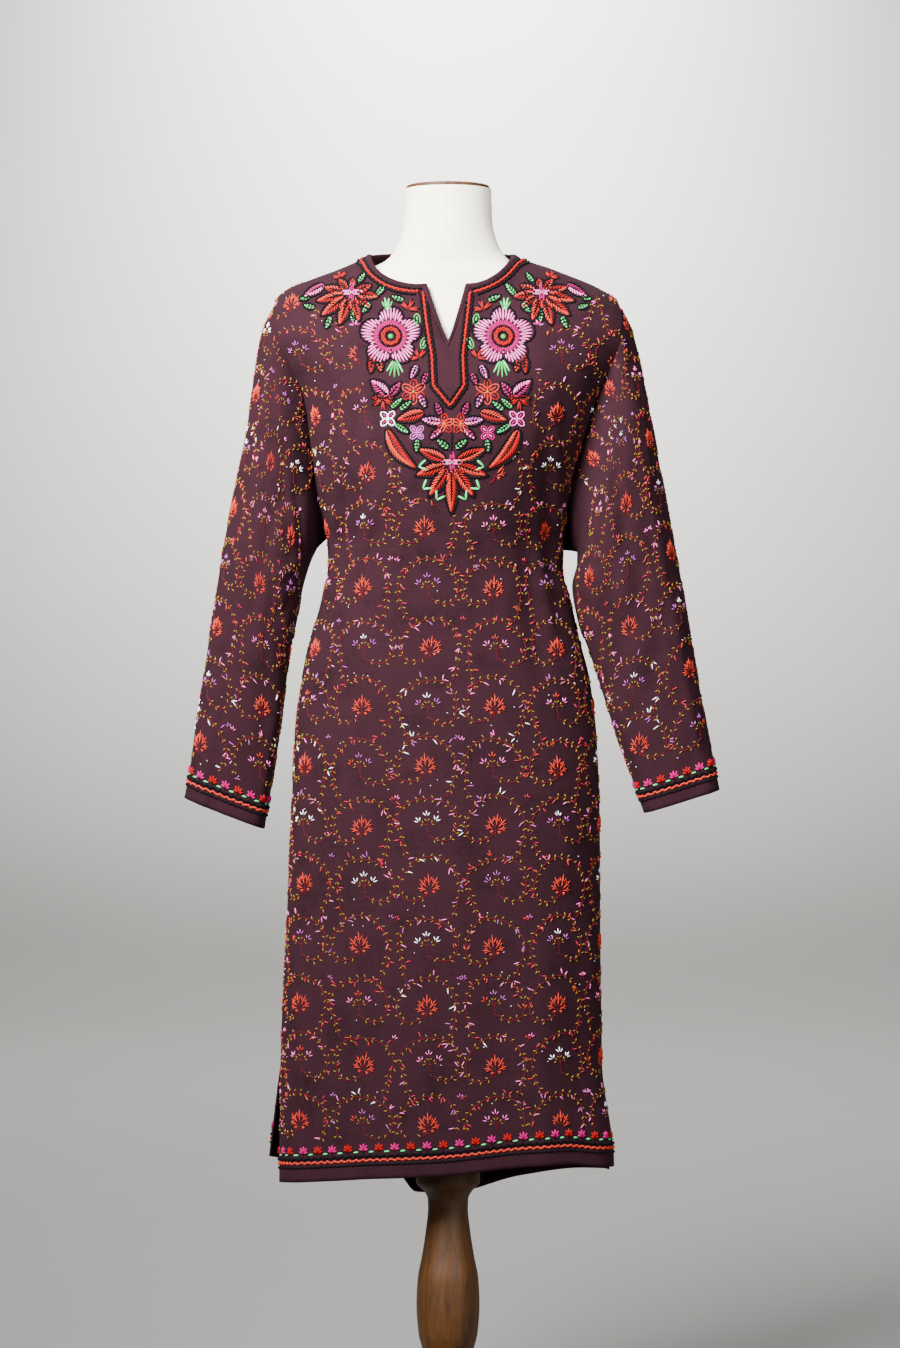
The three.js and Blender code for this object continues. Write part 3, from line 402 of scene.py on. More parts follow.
def half_panel(face, right):
    """One half of a body panel: places on the flat cloth and points in space, row by row from the hem up."""
    total = SKIRT_ROWS + SIDE_ROWS + ARMHOLE_ROWS
    rows = np.concatenate([
        np.linspace(0, SKIRT_ROWS, 26, endpoint=False),
        np.linspace(SKIRT_ROWS, SKIRT_ROWS + SIDE_ROWS, 118, endpoint=False),
        np.linspace(SKIRT_ROWS + SIDE_ROWS, total, 97),
    ])
    columns = np.concatenate([
        np.linspace(0, NECK_COLUMNS, 32, endpoint=False),
        np.linspace(NECK_COLUMNS, NECK_COLUMNS + SHOULDER_COLUMNS, 22),
    ])
    sign = 1 if right else -1
    side_total = NECK_COLUMNS + SHOULDER_COLUMNS
    hem = HEMS[face]
    hem_at = lambda s: column(hem, "s", "z", sign * s)
    hem_half = girth(face, right, np.array([hem_at(240.0)]))[0]
    top_s, top_z = neck_line(face, right, np.clip(columns / NECK_COLUMNS, 0, 1), BINDING_WIDTH)
    tip = armhole_point(right, face == "front", np.array([0.0]))[0]
    share = np.clip((columns - NECK_COLUMNS) / SHOULDER_COLUMNS, 0, 1)
    shoulder_z = top_z[columns <= NECK_COLUMNS][-1] * (1 - share) + tip[2] * share
    on_shoulder = columns > NECK_COLUMNS
    top_z = np.where(on_shoulder, shoulder_z, top_z)
    top_s = np.where(on_shoulder, girth(face, right, shoulder_z), top_s)

    above = rows - SKIRT_ROWS - SIDE_ROWS
    waist_z = (ARMPIT[False] + ARMPIT[True]) / 2
    centre_z = np.where(
        rows <= SKIRT_ROWS, hem_at(0.0) + (VENT_TOP - hem_at(0.0)) * rows / SKIRT_ROWS,
        VENT_TOP + (waist_z - VENT_TOP) * (rows - SKIRT_ROWS) / SIDE_ROWS,
    )
    centre_s = np.zeros_like(rows)
    slit_foot = SLIT_BOTTOM - BINDING_WIDTH * 1.6
    slit_start = ARMHOLE_ROWS - SLIT_ROWS
    if face == "back":
        rise = 1 - (1 - np.clip(above / ARMHOLE_ROWS, 0, 1)) ** 1.4
        centre_z = np.where(above > 0, waist_z + (top_z[0] - waist_z) * rise, centre_z)
    else:
        below_slit = waist_z + (slit_foot - waist_z) * above / slit_start
        in_slit = slit_foot + (top_z[0] - slit_foot) * slit_share(np.maximum(0, above - slit_start))
        centre_z = np.where(above > 0, np.where(above > slit_start, in_slit, below_slit), centre_z)
        centre_s = np.where(above > slit_start, slit_edge(right, centre_z, BINDING_WIDTH), 0)
    side_hem = hem_at(hem_half)
    side_z = np.where(
        rows <= SKIRT_ROWS, side_hem + (VENT_TOP - side_hem) * rows / SKIRT_ROWS,
        VENT_TOP + (ARMPIT[right] - VENT_TOP) * (rows - SKIRT_ROWS) / SIDE_ROWS,
    )
    turn = armhole_turn(ARMHOLE_ROWS - np.clip(above, 0, ARMHOLE_ROWS))
    seam = armhole_point(right, face == "front", turn)
    seam_s = nearest_along(face, right, seam)
    seam_s[-1] = girth(face, right, seam[-1:, 2])[0]
    blend_in = ease(above * 2)
    seam_s = seam_s * blend_in + girth(face, right, seam[:, 2]) * (1 - blend_in)
    side_s = np.where(above > 0, seam_s, girth(face, right, side_z))
    side_z = np.where(above > 0, seam[:, 2], side_z)
    pull = seam - body_point(face, sign * side_s, seam[:, 2])
    pull = pull * (ease(above + 1) * (above < ARMHOLE_ROWS))[:, None]

    u, v = columns / side_total, (rows / total)[:, None]
    foot_s, foot_z = hem_half * u, hem_at(hem_half * u)

    def patch(inner, outer, foot, top):
        inner, outer = inner[:, None], outer[:, None]
        corners = (1 - u) * (1 - v) * inner[0] + u * (1 - v) * outer[0]
        corners = corners + (1 - u) * v * inner[-1] + u * v * outer[-1]
        return (1 - u) * inner + u * outer + (1 - v) * foot + v * top - corners

    s = patch(centre_s, side_s, foot_s, top_s)
    z = patch(centre_z, side_z, foot_z, top_z)
    points = body_point(face, sign * s, z)
    points += pull[:, None, :] * (np.maximum(0, (u - 0.45) / 0.55) ** 2)[None, :, None]
    flat = np.stack([sign * s, z], axis=-1)
    if not right:
        points, flat = points[:, ::-1], flat[:, ::-1]
    if face == "back":
        points, flat = points[:, ::-1], flat[:, ::-1]
    side_seam = girth(face, right, z.ravel()).reshape(z.shape)
    if (not right) != (face == "back"):
        side_seam = side_seam[:, ::-1]
    points += normals_of(points) * fold_depth(face, flat[..., 0], flat[..., 1], side_seam)[..., None]
    return clear_of_form(points), flat


def normals_of(points):
    """Outward directions of a grid of points."""
    across = np.gradient(points, axis=1)
    up = np.gradient(points, axis=0)
    out = np.cross(across, up)
    return out / np.maximum(np.linalg.norm(out, axis=-1, keepdims=True), 1e-9)


def clear_of_form(points, room=2.2):
    """Moves points of cloth out of the dress form, level by level."""
    x, y, z = points[..., 0], points[..., 1], points[..., 2]
    half = column(FORM, "z", "half", z)
    deep = np.where(y < 0, column(FORM, "z", "front", z), column(FORM, "z", "back", z))
    square = column(FORM, "z", "square", z)
    size = ((np.abs(x) / half) ** square + (np.abs(y) / deep) ** square) ** (1 / square)
    away = np.hypot(x, y)
    short = np.clip(room - away * (1 - 1 / np.maximum(size, 1e-6)), 0, 12)
    short = np.where(z < FORM["z"][0] - 4, 0, short)
    grow = 1 + short / np.maximum(away, 1)
    return np.stack([x * grow, y * grow, z], axis=-1)


def sleeve_grid(right):
    """A sleeve's points, from the armhole to the cuff and from the underarm seam round the back, the outer
    line and the front to that seam again, with the place of each on the flat cloth."""
    rings = SLEEVES[right]
    around = np.linspace(0, 2 * ARMHOLE_ROWS, 115)
    front = around <= ARMHOLE_ROWS
    half_turn = armhole_turn(np.where(front, around, 2 * ARMHOLE_ROWS - around))
    turn = np.radians(np.where(front, half_turn, 360 - half_turn))
    seam = armhole_point(right, front, half_turn)
    exponent = (2 / rings["square"])[:, None]
    across = (power(np.cos(turn), exponent) + 1) / 2
    deep = power(np.sin(turn), exponent)
    x = rings["in_x"][:, None] * (1 - across) + rings["out_x"][:, None] * across
    z = rings["in_z"][:, None] * (1 - across) + rings["out_z"][:, None] * across
    y = -deep * np.where(deep > 0, rings["front"][:, None], rings["back"][:, None])
    lines = np.concatenate([seam[None], np.stack([x if right else -x, y, z], axis=-1)])
    along = np.linspace(0, 1, 132) ** 1.25
    keys = np.concatenate([[0], rings["along"]])
    points = through(keys, lines.reshape(len(lines), -1), along).reshape(len(along), len(around), 3)
    steps = np.linalg.norm(np.diff(points, axis=1), axis=-1)
    round_it = np.concatenate([np.zeros((len(along), 1)), np.cumsum(steps, axis=1)], axis=1)
    middle = len(around) // 2
    order = np.concatenate([np.arange(middle, len(around)), np.arange(1, middle + 1)])
    places = round_it - np.where(np.arange(len(around)) > middle, 1, 0) * round_it[:, -1:]
    places[:, middle] = round_it[:, middle]
    points, places = points[:, order], places[:, order]
    places[:, 0] = round_it[:, middle] - round_it[:, -1]
    if right:
        points, places = points[:, ::-1], places[:, ::-1]
    drop = np.linalg.norm(np.diff(points, axis=0), axis=-1)
    down = np.concatenate([np.zeros((1, points.shape[1])), np.cumsum(drop, axis=0)])
    up = down[-1] - down
    front_half = np.abs(places).max(axis=1)[:, None]
    share = places / front_half
    depth = np.zeros_like(places)
    rows = SLEEVE_CREASES[right]
    for start_share, start, end_share, end, deepness, width in zip(*(rows[name] for name in rows)):
        run = np.clip((along - start) / (end - start), 0, 1)[:, None]
        off = (share - (start_share + (end_share - start_share) * run)) * front_half / width
        depth += deepness * np.sin(math.pi * run) ** 0.7 * np.exp(-off * off)
    depth += 0.6 * unevenness(places, up, 21 + right)
    depth *= ease(along / 0.06)[:, None]
    depth *= (1 - np.abs(share) ** 10)
    points = points[::-1]
    places, up, depth = places[::-1], up[::-1], depth[::-1]
    outward = normals_of(points)
    centre = points.mean(axis=1, keepdims=True)
    if (outward * (points - centre)).sum() < 0:
        points, places, up, depth = points[:, ::-1], places[:, ::-1], up[:, ::-1], depth[:, ::-1]
        outward = normals_of(points)
    points = points + outward * depth[..., None]
    return points, np.stack([places, up], axis=-1)


# --- pieces of Blender ---


def linear(hex_colour):
    """A colour written as sRGB hex, in the linear values that shaders take."""
    parts = [int(hex_colour[i : i + 2], 16) / 255 for i in (1, 3, 5)]
    return tuple(c / 12.92 if c <= 0.04045 else ((c + 0.055) / 1.055) ** 2.4 for c in parts)


def add_node(tree, kind, settings=(), inputs=()):
    """Adds a node, gives it its settings, and links or fills its inputs."""
    made = tree.nodes.new(kind)
    for name, value in dict(settings).items():
        setattr(made, name, value)
    for name, value in dict(inputs).items():
        if isinstance(value, bpy.types.NodeSocket):
            tree.links.new(value, made.inputs[name])
        else:
            made.inputs[name].default_value = value
    return made


def show(name, mesh, smooth=True):
    """A named object at the origin that holds a finished mesh."""
    mesh.name = name
    if smooth:
        mesh.polygons.foreach_set("use_smooth", [True] * len(mesh.polygons))
    piece = bpy.data.objects.new(name, mesh)
    bpy.context.scene.collection.objects.link(piece)
    return piece


def cloth_mesh(grids, uv_scale=MM):
    """A mesh of grids of points, joined where their edges meet. The place on the flat cloth is its UV map."""
    bm = bmesh.new()
    for number, (points, _) in enumerate(grids):
        rows, columns = points.shape[:2]
        bmesh.ops.create_grid(
            bm, x_segments=columns - 1, y_segments=rows - 1, size=1.0,
            matrix=Matrix.Translation((3 * number, 0, 0)),
        )
    mesh = bpy.data.meshes.new("cloth")
    bm.to_mesh(mesh)
    bm.free()
    count = len(mesh.vertices)
    where = np.empty(count * 3)
    mesh.vertices.foreach_get("co", where)
    where = where.reshape(-1, 3)
    number = np.round(where[:, 0] / 3).astype(int)
    place = np.empty((count, 3))
    flat = np.empty((count, 2))
    for k, (points, on_flat) in enumerate(grids):
        rows, columns = points.shape[:2]
        mine = number == k
        i = np.round((where[mine, 0] - 3 * k + 1) / 2 * (columns - 1)).astype(int)
        j = np.round((where[mine, 1] + 1) / 2 * (rows - 1)).astype(int)
        place[mine] = points[j, i] * MM
        flat[mine] = on_flat[j, i] * uv_scale
    mesh.vertices.foreach_set("co", place.ravel())
    layer = mesh.uv_layers.new(name="cloth")
    corner = np.empty(len(mesh.loops), int)
    mesh.loops.foreach_get("vertex_index", corner)
    layer.data.foreach_set("uv", flat[corner].ravel())
    bm = bmesh.new()
    bm.from_mesh(mesh)
    bmesh.ops.remove_doubles(bm, verts=bm.verts, dist=6e-5)
    bm.to_mesh(mesh)
    bm.free()
    mesh.update()
    return mesh


class Cloth:
    """A finished piece of cloth, which finds the place in space of anything sewn on its flat pattern."""

    def __init__(self, grids, wall):
        corners, outward, flat, faces = [], [], [], []
        base = 0
        for points, on_flat in grids:
            rows, columns = points.shape[:2]
            out = normals_of(points)
            corners.append((points + out * wall / 2).reshape(-1, 3))
            outward.append(out.reshape(-1, 3))
            flat.append(on_flat.reshape(-1, 2))
            index = np.arange(rows * columns).reshape(rows, columns) + base
            a, b, c, d = index[:-1, :-1], index[:-1, 1:], index[1:, 1:], index[1:, :-1]
            faces.append(np.stack([a, b, c], axis=-1).reshape(-1, 3))
            faces.append(np.stack([a, c, d], axis=-1).reshape(-1, 3))
            base += rows * columns
        self.points, self.outward = np.concatenate(corners), np.concatenate(outward)
        self.flat, self.faces = np.concatenate(flat), np.concatenate(faces)
        ground = np.concatenate([self.flat, np.zeros((base, 1))], axis=1)
        self.tree = BVHTree.FromPolygons(ground.tolist(), self.faces.tolist())

    def find(self, flat):
        """The face under each place, and how far the place lies off the cloth."""
        found = [self.tree.find_nearest((s, z, 0.0)) for s, z in flat.tolist()]
        return np.array([hit[2] for hit in found]), np.array([hit[3] for hit in found])

    def holds(self, flat, margin):
        """Whether each place lies on the cloth, at least a margin from its edges."""
        inside = np.ones(len(flat), bool)
        for ds, dz in ((0, 0), (margin, 0), (-margin, 0), (0, margin), (0, -margin)):
            inside &= self.find(flat + (ds, dz))[1] < 0.02
        return inside

    def lay(self, flat, height):
        """Points in space, a height above the cloth, for places on the flat pattern."""
        face, _ = self.find(flat)
        corner = self.faces[face]
        a, b, c = (self.flat[corner[:, k]] for k in range(3))
        ab, ac, ap = b - a, c - a, flat - a
        area = ab[:, 0] * ac[:, 1] - ab[:, 1] * ac[:, 0]
        area = np.where(np.abs(area) < 1e-6, 1e-6, area)
        u = np.clip((ap[:, 0] * ac[:, 1] - ap[:, 1] * ac[:, 0]) / area, -0.5, 1.5)[:, None]
        v = np.clip((ab[:, 0] * ap[:, 1] - ab[:, 1] * ap[:, 0]) / area, -0.5, 1.5)[:, None]
        first, second, third = corner.T
        mix = lambda values: values[first] * (1 - u - v) + values[second] * u + values[third] * v
        out = mix(self.outward)
        out /= np.maximum(np.linalg.norm(out, axis=1, keepdims=True), 1e-9)
        return mix(self.points) + out * height[:, None]


def spun(name, rows, stops):
    """A turned piece: the profile of radii is spun about the upright axis."""
    bm = bmesh.new()
    heights = np.unique(np.concatenate([rows["z"], stops]))
    line = [(0.0, heights[0])]
    line += [(float(column(rows, "z", "r", h)), h) for h in heights]
    line.append((0.0, heights[-1]))
    verts = [bm.verts.new((r * MM, 0, h * MM)) for r, h in line]
    edges = [bm.edges.new(pair) for pair in zip(verts, verts[1:])]
    bmesh.ops.spin(
        bm, geom=verts + edges, cent=(0, 0, 0), axis=(0, 0, 1), angle=2 * math.pi, steps=96, use_merge=True,
    )
    bmesh.ops.remove_doubles(bm, verts=bm.verts, dist=1e-5)
    bmesh.ops.recalc_face_normals(bm, faces=bm.faces)
    mesh = bpy.data.meshes.new(name)
    bm.to_mesh(mesh)
    bm.free()
    piece = show(name, mesh)
    sharp_edges(piece)
    return piece


def sharp_edges(piece, angle=0.6):
    """Keeps the corners of a turned piece crisp while its sides stay smooth."""
    mesh = piece.data
    bm = bmesh.new()
    bm.from_mesh(mesh)
    for edge in bm.edges:
        if len(edge.link_faces) == 2 and edge.calc_face_angle(0) > angle:
            edge.smooth = False
    bm.to_mesh(mesh)
    bm.free()


# --- stitches ---

YARNS = [
    "rose", "stem", "red", "coral", "hot_pink", "pale_pink", "lilac",
    "white", "green", "mint", "yellow", "black", "brick",
]


def stitch_shape(sides, cuts):
    """One stitch of yarn: along X from 0 to 1, across Y from -0.5 to 0.5, up Z."""
    bm = bmesh.new()
    bmesh.ops.create_cone(bm, cap_ends=True, segments=sides, radius1=0.5, radius2=0.5, depth=1.0)
    for cut in cuts:
        bmesh.ops.bisect_plane(
            bm, geom=bm.verts[:] + bm.edges[:] + bm.faces[:], plane_co=(0, 0, cut - 0.5), plane_no=(0, 0, 1),
        )
    for vert in bm.verts:
        t = vert.co.z + 0.5
        full = min(1.0, (max(0.0, 4 * t * (1 - t)) ** 0.55) * 1.12)
        vert.co = Vector((t, vert.co.x * full, (vert.co.y + 0.12) * full))
    bmesh.ops.remove_doubles(bm, verts=bm.verts, dist=1e-4)
    bmesh.ops.triangulate(bm, faces=bm.faces)
    bmesh.ops.recalc_face_normals(bm, faces=bm.faces)
    bm.verts.index_update()
    shape = np.array([vert.co[:] for vert in bm.verts])
    faces = np.array([[vert.index for vert in face.verts] for face in bm.faces])
    bm.free()
    return shape, faces


class Sewing:
    """Stitches on one piece of cloth, each from one place on its flat pattern to another."""

    def __init__(self, seed):
        self.rows = []
        self.rng = random.Random(seed)

    def stitch(self, a, b, width, yarn, height=None, bend=0.0):
        height = width * 0.62 if height is None else height
        self.rows.append((a[0], a[1], b[0], b[1], width, height, bend, YARNS.index(yarn)))

    def ray(self, at, angle, start, end, width, yarn, bend=0.0):
        """A stitch that points away from a place at an angle in degrees."""
        turn = math.radians(angle)
        way = (math.cos(turn), math.sin(turn))
        a = (at[0] + way[0] * start, at[1] + way[1] * start)
        b = (at[0] + way[0] * end, at[1] + way[1] * end)
        self.stitch(a, b, width, yarn, bend=bend)

    def rope(self, path, width, yarn, pitch, lean=9.0):
        """A line of chain or stem stitches, each overlapping the next."""
        line = even(path, pitch)
        for k in range(len(line) - 1):
            way = line[k + 1] - line[k]
            turn = math.radians(lean * (1 if k % 2 else -1) + self.rng.uniform(-3, 3))
            turned = np.array([way[0] * math.cos(turn) - way[1] * math.sin(turn),
                               way[0] * math.sin(turn) + way[1] * math.cos(turn)])
            self.stitch(line[k] - turned * 0.22, line[k] + turned * 1.22, width, yarn)

    def piece(self, name, cloth, shape, margin=1.0, to_flat=None):
        """The stitches as one joined mesh laid on the cloth."""
        outline, faces = shape
        rows = np.array([row[:7] for row in self.rows], float)
        yarns = np.array([row[7] for row in self.rows])
        start, end = rows[:, 0:2], rows[:, 2:4]
        if to_flat:
            start, end = to_flat(start), to_flat(end)
        keep = cloth.holds(start, margin) & cloth.holds(end, margin)
        rows, yarns = rows[keep], yarns[keep]
        start, end = rows[:, None, 0:2], rows[:, None, 2:4]
        way = end - start
        side = np.stack([-way[..., 1], way[..., 0]], axis=-1)
        side /= np.maximum(np.linalg.norm(side, axis=-1, keepdims=True), 1e-9)
        t = outline[None, :, 0:1]
        offset = outline[None, :, 1:2] * rows[:, None, 4:5] + np.sin(math.pi * t) * rows[:, None, 6:7]
        flat = (start + way * t + side * offset).reshape(-1, 2)
        height = (outline[None, :, 2] * rows[:, 5:6] * 2).reshape(-1)
        if to_flat:
            flat = to_flat(flat)
        points = cloth.lay(flat, height) * MM
        count = len(rows)
        index = (faces[None] + np.arange(count)[:, None, None] * len(outline)).reshape(-1, 3)
        mesh = bpy.data.meshes.new(name)
        mesh.from_pydata(points.tolist(), [], index.tolist())
        mesh.polygons.foreach_set("material_index", np.repeat(yarns, len(faces)))
        piece = show(name, mesh)
        for yarn in YARNS:
            mesh.materials.append(bpy.data.materials["yarn_" + yarn])
        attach(piece, "root")
        return piece


def even(path, pitch):
    """A path cut into even steps of about a pitch."""
    path = np.asarray(path, float)
    length = np.concatenate([[0], np.cumsum(np.linalg.norm(np.diff(path, axis=0), axis=1))])
    count = max(2, int(round(length[-1] / pitch)) + 1)
    at = np.linspace(0, length[-1], count)
    return np.stack([np.interp(at, length, path[:, k]) for k in (0, 1)], axis=1)


# --- embroidery motifs, drawn on the flat cloth in millimetres ---


def leaf(sewing, base, angle, length, width, left, right, strokes=7, edge=True, bow=0.0):
    """A pointed leaf: slanted satin stitches in each half, with a dark chain round it."""
    turn = math.radians(angle)
    way = np.array([math.cos(turn), math.sin(turn)])
    side = np.array([-way[1], way[0]])
    bent = lambda t: np.array(base) + way * length * t + side * bow * math.sin(math.pi * t)
    half = lambda t: width / 2 * math.sin(math.pi * min(1.0, max(0.0, t)) ** 0.85) ** 0.8
    for k in range(strokes):
        t = 0.04 + 0.80 * k / max(1, strokes - 1)
        reach = min(0.97, t + 0.17)
        thread = 0.92 * length / strokes
        for sign, yarn in ((1, left), (-1, right)):
            tip = bent(reach) + side * sign * half(reach) * 0.92
            sewing.stitch(bent(t) + side * sign * 0.5, tip, max(1.3, thread * 0.62), yarn)
    sewing.stitch(bent(0.72), bent(1.0), max(1.3, length * 0.05), left)
    if length > 14:
        sewing.stitch(bent(0.04), bent(0.78), 1.2, "black", height=width * 0.07 + 0.9)
    if edge:
        outline = [bent(t) + side * (half(t) + 1.5) for t in np.linspace(0.0, 1.0, 12)]
        back = [bent(t) - side * (half(t) + 1.5) for t in np.linspace(1.0, 0.0, 12)]
        tip = bent(1.06)
        sewing.rope(outline + [tip] + back, 2.5, "black", 3.0)


def chinar(sewing, at, size, rng, lean=0.0):
    """A small plane leaf: lobes of coral stitches that fan out from the stalk, on a red stalk."""
    root = np.array(at) + (0, -size * 0.36)
    sewing.rope([root + (-1.0, -size * 0.42), root + (0, size * 0.25)], 1.0, "stem", 3.0)
    lobes = ((90, 1.08), (126, 0.94), (54, 0.94), (162, 0.76), (18, 0.76), (204, 0.40), (-24, 0.40))
    for angle, reach in lobes:
        angle += lean
        reach *= size * rng.uniform(0.95, 1.05)
        sewing.ray(root, angle, size * 0.10, reach, 2.2, "coral")
        turn = math.radians(angle)
        fork = root + reach * 0.40 * np.array([math.cos(turn), math.sin(turn)])
        for side in (-1, 1):
            sewing.ray(fork, angle + side * 30, 1.0, reach * 0.44, 1.9, "coral")


def bud(sewing, at, angle, size, yarn, width=1.5):
    for spread in (-40, 0, 40):
        sewing.ray(at, angle + spread, 1.2, size * (1.0 if spread == 0 else 0.86), width, yarn)


def sprig(sewing, at, mirror, rng):
    """Three small buds on red stalks with yellow leaves."""
    yarns = rng.choice([["lilac"] * 3, ["pale_pink"] * 3, ["white"] * 3, ["lilac", "white", "lilac"],
                        ["lilac", "lilac", "coral"], ["pale_pink", "coral", "pale_pink"]])
    base = np.array([at[0] - mirror * 1.5, at[1] - 10.0])
    fork = np.array([at[0], at[1] - 1.0])
    sewing.rope([base, (base + fork) / 2 + (mirror * 0.8, 0), fork], 1.0, "stem", 3.0)
    for (dx, dz), yarn in zip(((-9, 4), (1, 9.5), (9.5, 2.5)), yarns):
        tip = np.array([at[0] + dx * mirror, at[1] + dz])
        sewing.rope([fork, tip], 0.9, "stem", 3.2)
        angle = math.degrees(math.atan2(tip[1] - fork[1], tip[0] - fork[0]))
        bud(sewing, tip, 0.5 * angle + 45, rng.uniform(7.6, 8.8), yarn, 1.75)
        for side in (-1, 1):
            sewing.ray((fork + tip) / 2, angle + side * 48, 0.4, 4.4, 1.5, "yellow")


def vine_cell(sewing, at, pitch, leafy, rng):
    """One cell of the all-over pattern: a motif in a ring of stem, which runs on into the cell below."""
    mirror = 1 if leafy else -1
    size = (pitch[0] * 0.445, pitch[1] * 0.455)
    turns = np.radians(np.linspace(0, 332, 64))
    grow = 0.36 + 0.64 * ease(turns / 1.1) + 0.42 * np.maximum(0, (np.degrees(turns) - 292) / 40) ** 1.5
    wobble = 1 + 0.045 * np.sin(3 * turns + rng.uniform(0, 6.3))
    path = np.stack([
        at[0] - mirror * size[0] * grow * wobble * np.sin(turns),
        at[1] - size[1] * grow * wobble * np.cos(turns),
    ], axis=1)
    sewing.rope(path, 1.35, "stem", 4.3, lean=5)
    line = even(path, 9.6)
    for k in range(1, len(line) - 1):
        way = line[k + 1] - line[k - 1]
        angle = math.degrees(math.atan2(way[1], way[0]))
        for side in (-1, 1):
            if rng.random() < 0.94:
                spread = side * rng.uniform(38, 62)
                start = rng.uniform(0.4, 1.1)
                sewing.ray(line[k] + (rng.uniform(-1, 1), rng.uniform(-1, 1)), angle + spread,
                           start, start + rng.uniform(4.1, 5.5), 1.6, "yellow")
    favourites = [["rose", "coral", "pale_pink"], ["white", "pale_pink", "lilac"],
                  ["rose", "rose", "coral"], ["lilac", "rose", "pale_pink"]][rng.randrange(4)]
    bars = even(path[8:], 21.0)
    for k in range(1, len(bars)):
        way = bars[k] - bars[k - 1]
        angle = math.degrees(math.atan2(way[1], way[0]))
        yarn = rng.choice(favourites)
        side = rng.choice((-1, 1, 1)) * mirror
        spot = bars[k] + (rng.uniform(-2.5, 2.5), rng.uniform(-2.5, 2.5))
        lean = angle - side * rng.uniform(55, 100)
        sewing.ray(spot, lean, 1.2, rng.uniform(9.0, 11.0), 1.8, yarn, bend=0.4)
        if rng.random() < 0.4:
            lean = angle - side * rng.uniform(10, 38)
            sewing.ray(spot, lean, 1.6, rng.uniform(8.4, 10.0), 1.8, yarn, bend=-0.4)
    if rng.random() < 0.55:
        corner = np.array([at[0] + pitch[0] * 0.47 * mirror, at[1] + pitch[1] * 0.42])
        bud(sewing, corner, rng.uniform(60, 120), 6.4, rng.choice(["lilac", "rose", "pale_pink"]), 1.7)
        sewing.ray(corner, -90, 0, 4, 0.9, "stem")
    for _ in range(2):
        spot = (at[0] + rng.uniform(-1, 1) * pitch[0] / 2, at[1] + rng.uniform(-1, 1) * pitch[1] / 2)
        sewing.ray(spot, rng.uniform(0, 180), 0, 1.6, 1.2, "white")
    if leafy:
        chinar(sewing, at, 20.0, rng, rng.uniform(-12, 12))
    else:
        sprig(sewing, at, mirror, rng)


def jaal(sewing, across, up, pitch, anchor, bare=None):
    """The all-over pattern: leaves and sprigs take turns like the fields of a chessboard."""
    first = math.floor((across[0] - anchor[0]) / pitch[0])
    last = math.ceil((across[1] - anchor[0]) / pitch[0])
    low, high = math.floor((up[0] - anchor[1]) / pitch[1]), math.ceil((up[1] - anchor[1]) / pitch[1])
    for j in range(low, high + 1):
        for i in range(first, last + 1):
            rng = random.Random(1009 * i + 9176 * j + 5)
            shift = 2.5 * math.sin(1.7 * j) + rng.uniform(-1.6, 1.6)
            at = (anchor[0] + i * pitch[0] + shift, anchor[1] + j * pitch[1] + rng.uniform(-2, 2))
            vine_cell(sewing, at, pitch, (i + j) % 2 == 0, rng)
    kept = []
    for row in sewing.rows:
        middle = ((row[0] + row[2]) / 2, (row[1] + row[3]) / 2)
        if up[0] < row[1] < up[1] and up[0] < row[3] < up[1] and not (bare and bare(middle)):
            kept.append(row)
    sewing.rows = kept


def border(sewing, at, start, end, bud_pitch, scale=1.0):
    """A border along an edge: a coral wave between black chains, green dashes and a row of buds above them.
    at(u, d) gives the place u along the edge and d above it."""
    us = np.arange(start, end, 1.1)
    wave = lambda d, swing: [at(u, d + swing * math.sin(2 * math.pi * u / 8.6)) for u in us]
    sewing.rope(wave(17.2 * scale, 0.6), 2.6, "black", 3.2)
    sewing.rope(wave(22.4 * scale, 1.3), 2.8, "coral", 2.7)
    sewing.rope(wave(27.4 * scale, 1.4), 3.2, "black", 3.2)
    for k, u in enumerate(np.arange(start + bud_pitch / 2, end, bud_pitch)):
        root = np.array(at(u, 33.6 * scale))
        yarn = "red" if k % 2 else "hot_pink"
        for angle, tall in ((90, 9.0), (58, 8.6), (122, 8.6), (24, 6.2), (156, 6.2)):
            sewing.ray(root, angle, 0.5, tall, 3.0, yarn)
        sewing.ray(root, 90, -3.4, 0.6, 1.6, "black")
        middle = u + bud_pitch / 2
        sewing.stitch(at(middle - 3.2, 32.0 * scale), at(middle + 3.2, 32.5 * scale), 2.6, "mint")


def loop(sewing, base, angle, length, width, yarn, core=None):
    """A lazy-daisy petal: a closed loop of yarn, with a stitch of another colour in it."""
    turn = math.radians(angle)
    way = np.array([math.cos(turn), math.sin(turn)])
    side = np.array([-way[1], way[0]])
    ring = []
    for t in np.linspace(0, 2 * math.pi, 15):
        ring.append(np.array(base) + way * length * (1 - math.cos(t)) / 2 + side * width / 2 * math.sin(t))
    sewing.rope(ring, 1.7, yarn, 2.4, lean=4)
    if core:
        sewing.ray(base, angle, length * 0.22, length * 0.8, 1.7, core)


